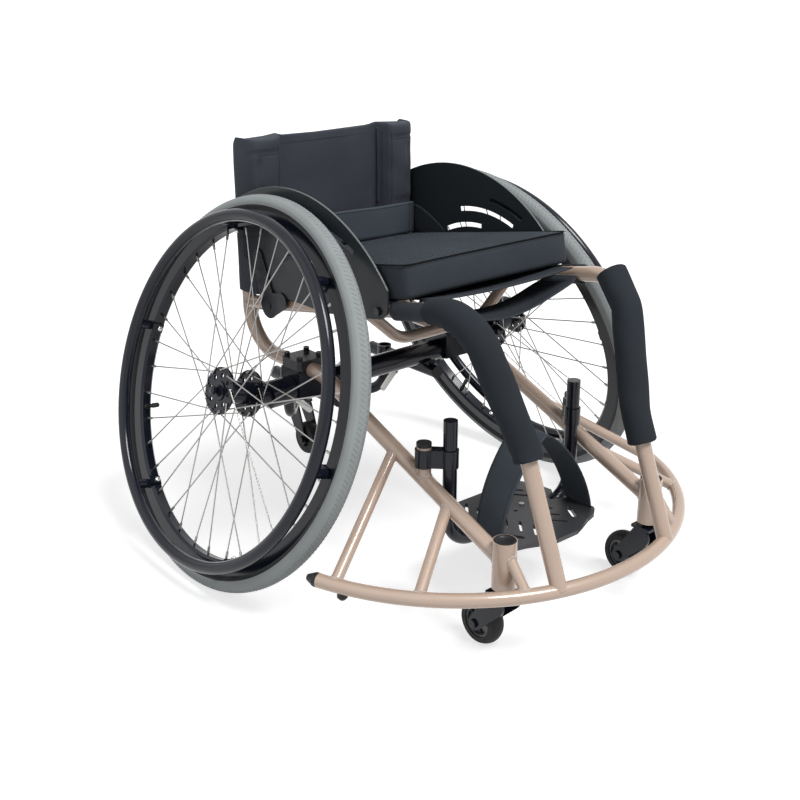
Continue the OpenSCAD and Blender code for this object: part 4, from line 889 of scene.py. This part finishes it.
class CHAIR_OT_backrest(bpy.types.Operator):
    """Upholstered backrest: padded wings round the posts, a thinner panel and sewn seams"""
    bl_idname = "chair.backrest"
    bl_label = "Backrest"

    rows, cols = 50, 84
    step, square = 14.0, 40
    panel_front, panel_back, wing_back = 13.0, 3.0, 18.5
    panel_puff, wing_puff, wing_mid, wing_half = 2.0, 2.6, 146.0, 40.0
    seams, seam_deep, seam_wide = (106.0, 117.5), (4.0, 2.4), 2.6
    pocket_z, pocket_in, pocket_deep, pocket_wide, pocket_soft = 659.0, 121.0, 2.2, 1.8, 6.0
    fold_y, fold_deep, fold_wide, fold_low, fold_fade = 161.0, 3.0, 2.8, 500.0, (20.0, 60.0)
    waist_low, waist_high, waist_soft = 482.0, 540.0, 14.0
    crumple, wing_waves, rear_waves = 0.6, (0.11, 0.06), (0.06, 0.03)
    sway, sway_waves = 0.5, (0.05, -0.035)
    dip, dip_power, peak, peak_y, peak_wide = 4.0, 4, 5.0, 111.0, 13.0
    hem = ((0, 0.84), (0.5, 0.92), (1.6, 0.97), (4, 0.99), (9, 1.0))
    hem_in, hem_end, foot_hold = 4.0, 14.0, 0.8
    top_slope, slope_from = 0.30, 626.0
    pressure, fill, pinned = 1.6, 0.5, 4.0
    stitch_lift, stitch_rows, stitch_mark = 0.3, (111.5, 122.5), 4
    pocket_row, pocket_first, pocket_mark, top_row, top_in = 4.0, 6, 3, 17.0, 8
    piping_y, piping_r, piping_around, piping_past, piping_mark = 109.0, 2.0, 10, 8, 3

    def faces_at(self, y, z):
        """Front and back of the upholstery at a place, before the edges are rounded."""
        far = abs(y)
        b = ease((far - WING_Y) / self.step)
        high = min(1.0, max(0.0, (z - REST_LOW) / (REST_TOP - REST_LOW)))
        full = sin(pi * high)
        pressed = ease((z - self.waist_low + self.waist_soft) / self.waist_soft)
        pressed *= ease((self.waist_high + self.waist_soft - z) / self.waist_soft)

        def wave(waves, across):
            return sin(z * waves[0] + across * waves[1])

        fore = mix(self.panel_front, REST_FRONT, b)
        fore += self.wing_puff * b * (1 - ((far - self.wing_mid) / self.wing_half) ** 2) * (1 - pressed)
        fore += self.panel_puff * (1 - b) * full * (1 - (y / WING_Y) ** 2)
        for seam, deep in zip(self.seams, self.seam_deep):
            fore -= deep * hump(far, seam, self.seam_wide)
        pocket = ease((far - self.pocket_in) / self.pocket_soft)
        fore -= self.pocket_deep * hump(z, self.pocket_z, self.pocket_wide) * pocket
        below = ease((self.pocket_z - z) / self.fold_fade[0]) * ease((z - self.fold_low) / self.fold_fade[1])
        fore -= self.fold_deep * hump(far, self.fold_y, self.fold_wide) * below
        fore += self.crumple * wave(self.wing_waves, far) * b * (1 - pressed)
        fore += self.sway * wave(self.sway_waves, y) * (1 - b)
        aft = mix(self.panel_back, self.wing_back, b) + b * full + self.crumple * wave(self.rear_waves, y)
        return fore, aft

    def ring(self, z, inset, thin):
        rise = (z - REST_LOW) / (REST_TOP - REST_LOW)
        slope = self.top_slope * ease((z - self.slope_from) / (REST_TOP - self.slope_from))
        points = []
        for i in range(2 * self.cols):
            front = i < self.cols
            k = i if front else 2 * self.cols - 1 - i
            u = sin(pi / 2 * sin(pi / 2 * (2 * (k + 0.5) / self.cols - 1)))
            y = (REST_HALF - inset) * u
            fore, aft = self.faces_at(y, z)
            edge = sqrt(1 - abs(u) ** self.square) * thin
            mid, deep = (fore - aft) / 2 * edge, (fore + aft) / 2 * edge
            dip = self.dip * (1 - u * u) - self.peak * hump(abs(y), self.peak_y, self.peak_wide)
            off = mid + (deep if front else -deep)
            drop = dip * rise**self.dip_power + slope * (mid + deep - off)
            points.append(Vector((POST_X + off, y, z - drop)))
        return points

    def on_front(self, y, z):
        fore, _ = self.faces_at(y, z)
        return Vector((POST_X + fore + self.stitch_lift, y, z))

    def held(self, points):
        """Points that the seams, the hems and the waist strap hold in place."""
        kept = []
        for i, p in enumerate(points):
            far = abs(p.y)
            sewn = min(abs(far - seam) for seam in self.seams) < self.pinned
            pocket = abs(p.z - self.pocket_z) < self.pinned and far > self.pocket_in
            strapped = self.waist_low < p.z < self.waist_high
            edge = not REST_LOW + self.hem_end < p.z < REST_TOP - self.hem_end
            if sewn or pocket or strapped or edge or far > REST_HALF - self.pinned:
                kept.append(i)
        return kept

    def cover(self, sizes):
        low, high = REST_LOW + self.hem_end, REST_TOP - self.hem_end
        rows = [self.ring(REST_LOW + h, 0, mix(self.foot_hold, 1, t)) for h, t in self.hem]
        rows += [self.ring(mix(low, high, k / self.rows), 0, 1) for k in range(self.rows + 1)]
        rows += [self.ring(REST_TOP - h, (1 - t) * self.hem_in, t) for h, t in reversed(self.hem)]
        back = skin("backrest_cover", rows, ["nylon"], around=True, capped=True)
        swell(back, self.held([p for row in rows for p in row]), self.pressure, sizes.rest_swell)
        dress(back, "frame", "nylon", "backrest")

    def execute(self, context):
        sizes = context.scene.chair_sizes
        self.cover(sizes)
        low, top = int(self.waist_high), int(REST_TOP - self.hem_end)
        turns, lines = turns_of(self.piping_around), []
        heights = range(low, top + self.piping_past, self.piping_mark)
        pocket = range(int(self.pocket_in) + self.pocket_first, int(self.fold_y), self.pocket_mark)
        for s, name in SIDES.items():
            stations = carried_frames([self.on_front(s * self.piping_y, z) for z in heights], FORWARD)
            rows = [hoop(p, across, up, self.piping_r, turns) for p, _, across, up in stations]
            round_piece("backrest_piping_" + name, rows, "nylon", "frame", "nylon", capped=True)
            for seam in self.stitch_rows:
                lines.append([self.on_front(s * seam, z) for z in range(low, top, self.stitch_mark)])
            lines.append([self.on_front(s * y, self.pocket_z - self.pocket_row) for y in pocket])
        reach = int(WING_Y) - self.top_in
        across = range(-reach, reach + 1, self.stitch_mark)
        lines.append([self.on_front(y, REST_TOP - self.top_row) for y in across])
        sew("backrest_stitches", lines, lambda _: FORWARD, sizes)
        return {"FINISHED"}


class CHAIR_OT_straps(bpy.types.Operator):
    """Waist strap with its end flaps, calf strap, heel strap and the seat sling"""
    bl_idname = "chair.straps"
    bl_label = "Straps and sling"

    stitch_in = 3.5
    waist_low, waist_high, waist_half, waist_off, waist_t, waist_sunk = 481.0, 538.0, 171.0, 4.0, 5.5, 12.0
    waist_steps, waist_end, waist_marks = 60, 2, 20
    flap_y, flap_t, flap_x, flap_puff = 176.0, 1.6, (-112.0, -26.0), 0.5
    flap_top, flap_low, flap_bow = (533.0, 497.0), (484.0, 468.0), 1.6
    flap_steps, flap_rows = 24, 8
    calf_r, calf_sag, calf_start, calf_w, calf_t = 15.0, 33.0, 408.0, 72.0, 2.2
    calf_loop, calf_from, calf_turn, calf_mid, calf_rows, calf_sewn = 19, 60, 13, 40, 16, 14
    calf_drop, calf_shoulder, calf_square = 4.0, 7.0, 6
    ripple, ripple_across, ripple_along, ripple_end, ripple_fade = 1.6, 9.0, 0.02, 130.0, 60.0
    sling_start, sling_end, sling_half, sling_sag, sling_t, sling_up = 46.0, 478.0, 177.0, 9.0, 2.4, 13.9
    sling_full, sling_narrow, sling_notch, sling_lift, sling_lift_l = 404.0, 33.0, 4.0, 3.0, 60.0
    sling_inner, sling_lap, sling_lap_w = FRAME_Y - 12.0, 5.0, 13.0
    sling_steps, sling_hem, sling_tuck = (72, 64), 3, 4
    heel_x, heel_z, heel_half, heel_high, heel_w, heel_t = 389.0, 128.6, 100.7, 148.7, 54.0, 2.5
    heel_spread, heel_rise, heel_back, heel_front, heel_bulge = 1.54, 1.25, 22.0, 10.0, 2.2
    heel_steps, heel_sewn = (60, 12), 3

    def edge_stitches(self, name, lines, off, sizes):
        sew(name, [[p + off for p in line] for line in lines], lambda _: off.normalized(), sizes)

    def waist(self, sizes):
        mid, tall = (self.waist_low + self.waist_high) / 2, self.waist_high - self.waist_low
        path = []
        for k in range(self.waist_steps + 1):
            y = self.waist_half * (2 * k / self.waist_steps - 1)
            sunk = self.waist_sunk * cos(pi / 2 * y / WING_Y) ** 2 if abs(y) < WING_Y else 0
            path.append(Vector((POST_X + REST_FRONT + self.waist_off - sunk, y, mid)))
        rows = ribbon_rows(path, UP, FORWARD, tall, self.waist_t)
        strap = round_piece("waist_band", rows, "band", "frame", "nylon", "waist_strap", capped=True)
        high = tall / 2 - self.stitch_in
        lines = [[p + UP * (s * high) for p in path] for s in (-1, 1)]
        ends = [UP * (high * (2 * k / self.waist_marks - 1)) for k in range(self.waist_marks + 1)]
        lines += [[path[k] + off for off in ends] for k in (self.waist_end, -1 - self.waist_end)]
        self.edge_stitches("waist_stitches", lines, FORWARD * (self.waist_t / 2), sizes)

    def flaps(self, sizes):
        for side, name in SIDES.items():

            def place(share, rise):
                high, low = mix(*self.flap_top, share**self.flap_bow), mix(*self.flap_low, share)
                y = self.flap_y - self.flap_puff * sin(pi * rise)
                return Vector((mix(*self.flap_x, share), side * y, mix(low, high, rise)))

            rows = grid(self.flap_steps, self.flap_rows, place)
            flap = cloth_piece("waist_flap_" + name, rows, "sling", self.flap_t, "frame")
            off = Vector((0, -side * self.flap_t / 2, 0))
            self.edge_stitches("flap_stitches_" + name, [[row[-2] for row in rows]], off, sizes)

    def calf(self, sizes):
        half = FRAME_Y - self.calf_r
        loop, middle = [], []
        for k in range(self.calf_loop):
            turn = radians(self.calf_from - self.calf_turn * k)
            loop.append((FRAME_Y + self.calf_r * cos(turn), self.calf_r * sin(turn)))
        for k in range(1, self.calf_mid):
            y = half * (1 - 2 * k / self.calf_mid)
            shoulder = self.calf_shoulder * (abs(y) / half) ** self.calf_square
            middle.append((y, -self.calf_sag * (1 - (y / half) ** 2) - shoulder))

        def place(w, y, z):
            droop = (w - 0.5) * 2 * self.calf_drop * (1 - (y / FRAME_Y) ** 2)
            fade = ease((self.ripple_end - abs(y)) / self.ripple_fade)
            droop += self.ripple * sin(w * self.ripple_across + y * self.ripple_along) * fade
            return seat_point(self.calf_start + self.calf_w * w, y, z - droop)

        line = loop + middle + [(-y, z) for y, z in reversed(loop)]
        rows = [[place(k / self.calf_rows, y, z) for k in range(self.calf_rows + 1)] for y, z in line]
        strap = cloth_piece("calf_sling", rows, "sling", self.calf_t, "frame", "calf_strap")
        length = length_of(rows, self.calf_rows // 2)
        lines = [[row[k] for row in rows[self.calf_sewn:-self.calf_sewn]] for k in (1, -2)]
        self.edge_stitches("calf_stitches", lines, Vector((0, 0, -self.calf_t / 2)), sizes)

    def sling(self, sizes):
        def place(share, side):
            along = mix(self.sling_start, self.sling_end, share)
            half = self.sling_half - self.sling_narrow * ease((along - self.sling_full) / self.sling_notch)
            sag = self.sling_sag - self.sling_lift * ease(1 - (self.sling_end - along) / self.sling_lift_l)
            y = half * (2 * side - 1)
            sag *= max(0.0, 1 - (y / self.sling_inner) ** 2)
            lap = self.sling_lap * (max(0.0, abs(y) - FRAME_Y) / self.sling_lap_w) ** 2
            return seat_point(along, y, self.sling_up - sag - lap)

        rows = grid(*self.sling_steps, place)
        sling = cloth_piece("seat_sling_cloth", rows, "sling", self.sling_t, "frame", "seat_sling")
        line = rows[-self.sling_hem][self.sling_tuck:-self.sling_tuck]
        self.edge_stitches("sling_stitches", [line], Vector((0, 0, -self.sling_t / 2)), sizes)

    def heel(self, sizes):
        def place(share, w):
            c, s = cos(pi * share), max(0.0, sin(pi * share))
            y = copysign(self.heel_half * abs(c) ** self.heel_spread, c)
            z = self.heel_z + self.heel_high * s**self.heel_rise
            back = self.heel_x - self.heel_w / 2 - self.heel_back * s
            front = self.heel_x + self.heel_w / 2 - self.heel_front * s
            bulge = self.heel_bulge * sin(pi * w) * s
            return Vector((mix(back, front, w), y + bulge * c, z + bulge * s))

        rows = grid(*self.heel_steps, place)
        strap = cloth_piece("heel_sling", rows, "webbing", self.heel_t, "footrest", "heel_strap")
        length = length_of(rows, self.heel_steps[1] // 2)
        middle = Vector((self.heel_x, 0, self.heel_z))
        lines = [[row[k] for row in rows[self.heel_sewn:-self.heel_sewn]] for k in (1, -2)]

        def out(p):
            return (p - middle).normalized()

        sew("heel_stitches", lines, out, sizes, body="footrest", lift=self.heel_t / 2)

    def execute(self, context):
        for strap in (self.waist, self.flaps, self.calf, self.sling, self.heel):
            strap(context.scene.chair_sizes)
        return {"FINISHED"}


class CHAIR_OT_sleeves(bpy.types.Operator):
    """Foam sleeves over the knees, creased inside the bend, with worn hems"""
    bl_idname = "chair.sleeves"
    bl_label = "Foam sleeves"

    start, ends = 482.0, {RIGHT: 296.0, LEFT: 263.0}
    left_start, left_tilt = 536.0, radians(28)
    cut_rise, cut_steps, soften = 13.0, 18, 3
    around, step = 48, 3.0
    full_r, slim, slim_from, slim_share, cuff, cuff_l = 24.1, 1.7, 0.55, 0.4, 5.5, 55.0
    crease, crease_gain, crease_beat = 0.9, 25.0, 1.05
    soft, soft_waves = 0.3, ((3, 0.05), (2, 0.21))
    bore_r = TUBE_R + 0.7
    ragged, ragged_waves, ragged_top = 0.6, (5, 9), 0.3
    hem = ((0, 0.3), (0.8, 0.3), (0.95, 0.0), (1.0, -1.4))

    def path(self, side):
        rail, knee, shin, foot = rail_corners(side)
        start = rail + (knee - rail).normalized() * self.start
        hem = shin + (foot - shin) * (shin.z - self.ends[side]) / (shin.z - foot.z)
        return bent_path([start, knee, shin, hem], [KNEE_BEND, SHIN_BEND], self.step)

    def cut_path(self, path):
        """The left sleeve starts later, on a slant, and runs straight into the bend."""
        cut = seat_point(self.left_start, 0, 0)
        facing = seat_point(self.left_start + cos(self.left_tilt), 0, -sin(self.left_tilt)) - cut
        kept = [p for p in path if (p - cut).dot(facing) >= 0]
        head, bend = kept[0] + carried_frames(kept, UP)[0][3] * self.cut_rise, kept[self.cut_steps]
        kept[:self.cut_steps] = [head.lerp(bend, i / self.cut_steps) for i in range(self.cut_steps)]
        for _ in range(self.soften):
            kept[1:-1] = [(a + b + c) / 3 for a, b, c in zip(kept, kept[1:], kept[2:])]
        return kept

    def body_rows(self, side, stations, turns):
        last, rows = len(stations) - 1, []
        for i, (p, _, across, up) in enumerate(stations):
            bend = 0.0
            if 0 < i < last:
                before, after = stations[i - 1][0], stations[i + 1][0]
                bend = (after - p).normalized().angle((p - before).normalized())
            radius = self.full_r - self.slim * ease((i / last - self.slim_from) / self.slim_share)
            if side == RIGHT:
                radius -= self.cuff * (1 - ease(i * self.step / self.cuff_l))
            creased = self.crease * min(1, bend * self.crease_gain) * (1 + sin(i * self.crease_beat))
            row = []
            for t in turns:
                soft = sum(sin(n * t + i * beat) for n, beat in self.soft_waves)
                r = radius - creased * max(0.0, -sin(t)) ** 2 + self.soft * soft
                row += hoop(p, across, up, r, [t])
            rows.append(row)
        return rows

    def lips(self, station, way, edge, turns):
        """Rings of a hem, from the tube's bore out to the foam's edge."""
        p, along, across, up = station
        ragged = self.ragged * (self.ragged_top if way < 0 else 1)
        n, m = self.ragged_waves
        worn = [along * (ragged * sin(n * t) * sin(m * t + 1)) for t in turns]
        made = []
        for share, push in self.hem:
            ring = hoop(p + along * (push * way), across, up, max(self.bore_r, share * edge), turns)
            made.append([q + off for q, off in zip(ring, worn)])
        return made

    def execute(self, context):
        turns = turns_of(self.around)
        for side, name in SIDES.items():
            path = self.path(side)
            stations = carried_frames(path if side == RIGHT else self.cut_path(path), UP)
            rows = self.body_rows(side, stations, turns)
            first, last = [
                self.lips(stations[at], way, (rows[at][0] - stations[at][0]).length, turns)
                for at, way in ((0, -1), (-1, 1))
            ]
            rows = first + rows[1:-1] + last[::-1]
            sleeve = round_piece("foam_sleeve_" + name, rows, "foam", "frame", "foam", "leg_sleeve_" + name)
        return {"FINISHED"}


class CHAIR_OT_guard_highlights(bpy.types.Operator):
    """Painted highlight: a pale strip along the arched top of each side guard, for the light caught on its
    edge
    """
    bl_idname = "chair.guard_edges"
    bl_label = "Guard edges"

    steps, sunk, proud, lap = 120, 0.4, 0.15, 0.08

    def execute(self, context):
        first, last = acos(GUARD_FRONT / GUARD_R), acos(-GUARD_BACK / GUARD_R)
        inner, outer, far = GUARD_R - self.sunk, GUARD_R + self.proud, GUARD_T + self.lap
        section = ((inner, -self.lap), (outer, -self.lap), (outer, far), (inner, far))
        for side, name in SIDES.items():
            rows = []
            for k in range(self.steps + 1):
                turn = mix(first, last, k / self.steps)
                x, z = cos(turn), sin(turn)
                rows.append([Vector((r * x, side * (GUARD_FACE + y), HUB_Z + r * z)) for r, y in section])
            # Each strip is painted highlight, pale grey laid over the black guard's edge.
            round_piece("guard_edge_" + name, rows, "painted_highlight_edge", "frame", "guard_black", capped=True)
        return {"FINISHED"}


class CHAIR_OT_stage(bpy.types.Operator):
    """Pale floor, soft light and a camera at the front right"""
    bl_idname = "chair.stage"
    bl_label = "Studio"

    spot = Vector((1522.08, -1238.41, 967.51))
    azimuth, elevation = radians(49.79), radians(20.91)
    lens, sensor = 52.74, 36.0
    floor_half, floor_rough, floor_glow = 400.0, 0.9, 0.68
    world_fill, fill_tint = 0.23, (0.97, 0.98, 1, 1)
    lamps = (
        ("Key sun", (0.60, 0.10, 1.0), 2.7, radians(24)),
        ("Side sun", (-0.1, -0.9, 0.7), 0.55, radians(70)),
    )

    def add(self, name, data):
        holder = bpy.data.objects.new(name, data)
        bpy.context.scene.collection.objects.link(holder)
        return holder

    def seen_rays(self, tree):
        """One where the camera, a reflection or a clear piece looks, nought for light on the chair."""
        rays = node(tree, "ShaderNodeLightPath").outputs
        seen = math_node(tree, "MAXIMUM", rays["Is Camera Ray"], rays["Is Glossy Ray"])
        return math_node(tree, "MAXIMUM", seen, rays["Is Transmission Ray"])

    def floor_finish(self, colour):
        finish, tree, shader = new_finish("Studio floor")
        feed(tree, shader, {
            "Base Color": (*colour, 1), "Roughness": self.floor_rough, "Specular IOR Level": 0.0,
        })
        glow = node(tree, "ShaderNodeEmission", {
            "Strength": math_node(tree, "MULTIPLY", self.seen_rays(tree), self.floor_glow),
        })
        both = node(tree, "ShaderNodeAddShader", {0: shader.outputs[0], 1: glow.outputs[0]})
        feed(tree, tree.nodes["Material Output"], {"Surface": both.outputs[0]})
        return finish

    def execute(self, context):
        scene, half = context.scene, self.floor_half
        scene.view_settings.view_transform = "Standard"
        mesh = bpy.data.meshes.new("floor")
        corners = [(-half, -half, 0), (half, -half, 0), (half, half, 0), (-half, half, 0)]
        mesh.from_pydata(corners, [], [(0, 1, 2, 3)])
        mesh.materials.append(self.floor_finish(scene.chair_colours.floor))
        floor = self.add("floor", mesh)

        world = bpy.data.worlds.new("Studio")
        world.use_nodes = True
        tree = world.node_tree
        white = node(tree, "ShaderNodeBackground", {"Color": (1, 1, 1, 1), "Strength": 1.0})
        fill = node(tree, "ShaderNodeBackground", {"Color": self.fill_tint, "Strength": self.world_fill})
        shares = {0: self.seen_rays(tree), 1: fill.outputs[0], 2: white.outputs[0]}
        pick = node(tree, "ShaderNodeMixShader", shares)
        feed(tree, tree.nodes["World Output"], {"Surface": pick.outputs[0]})
        scene.world = world

        for name, toward, strength, spread in self.lamps:
            lamp = bpy.data.lights.new(name, "SUN")
            lamp.energy, lamp.angle = strength, spread
            self.add(name, lamp).rotation_euler = Vector(toward).to_track_quat("Z", "Y").to_euler()

        camera = bpy.data.cameras.new("Camera")
        camera.lens, camera.sensor_width, camera.clip_end = self.lens, self.sensor, 2 * half
        scene.camera = self.add("Camera", camera)
        scene.camera.location = to_row(self.spot)
        scene.camera.rotation_euler = (pi / 2 - self.elevation, 0, self.azimuth)
        return {"FINISHED"}


class CHAIR_PT_panel(bpy.types.Panel):
    """The chair's pieces, sizes and colours"""
    bl_idname = "CHAIR_PT_panel"
    bl_label = "Wheelchair"
    bl_space_type = "VIEW_3D"
    bl_region_type = "UI"
    bl_category = "Wheelchair"

    def draw(self, context):
        for maker in MAKERS:
            self.layout.operator(maker.bl_idname)
        for group in (context.scene.chair_sizes, context.scene.chair_colours):
            box = self.layout.box()
            for name in group.__annotations__:
                box.prop(group, name)


MAKERS = (
    CHAIR_OT_stage,
    CHAIR_OT_finishes,
    CHAIR_OT_tyres,
    CHAIR_OT_welds,
    CHAIR_OT_head_cups,
    CHAIR_OT_cushion,
    CHAIR_OT_backrest,
    CHAIR_OT_straps,
    CHAIR_OT_sleeves,
    CHAIR_OT_guard_highlights,
)
CLASSES = (ChairColours, ChairSizes, *MAKERS, CHAIR_PT_panel)


def register():
    for made in CLASSES:
        bpy.utils.register_class(made)
    bpy.types.Scene.chair_colours = bpy.props.PointerProperty(type=ChairColours)
    bpy.types.Scene.chair_sizes = bpy.props.PointerProperty(type=ChairSizes)


def unregister():
    del bpy.types.Scene.chair_sizes
    del bpy.types.Scene.chair_colours
    for made in reversed(CLASSES):
        bpy.utils.unregister_class(made)


def main():
    register()
    for maker in MAKERS:
        group, name = maker.bl_idname.split(".")
        getattr(getattr(bpy.ops, group), name)()


if __name__ == "__main__":
    main()
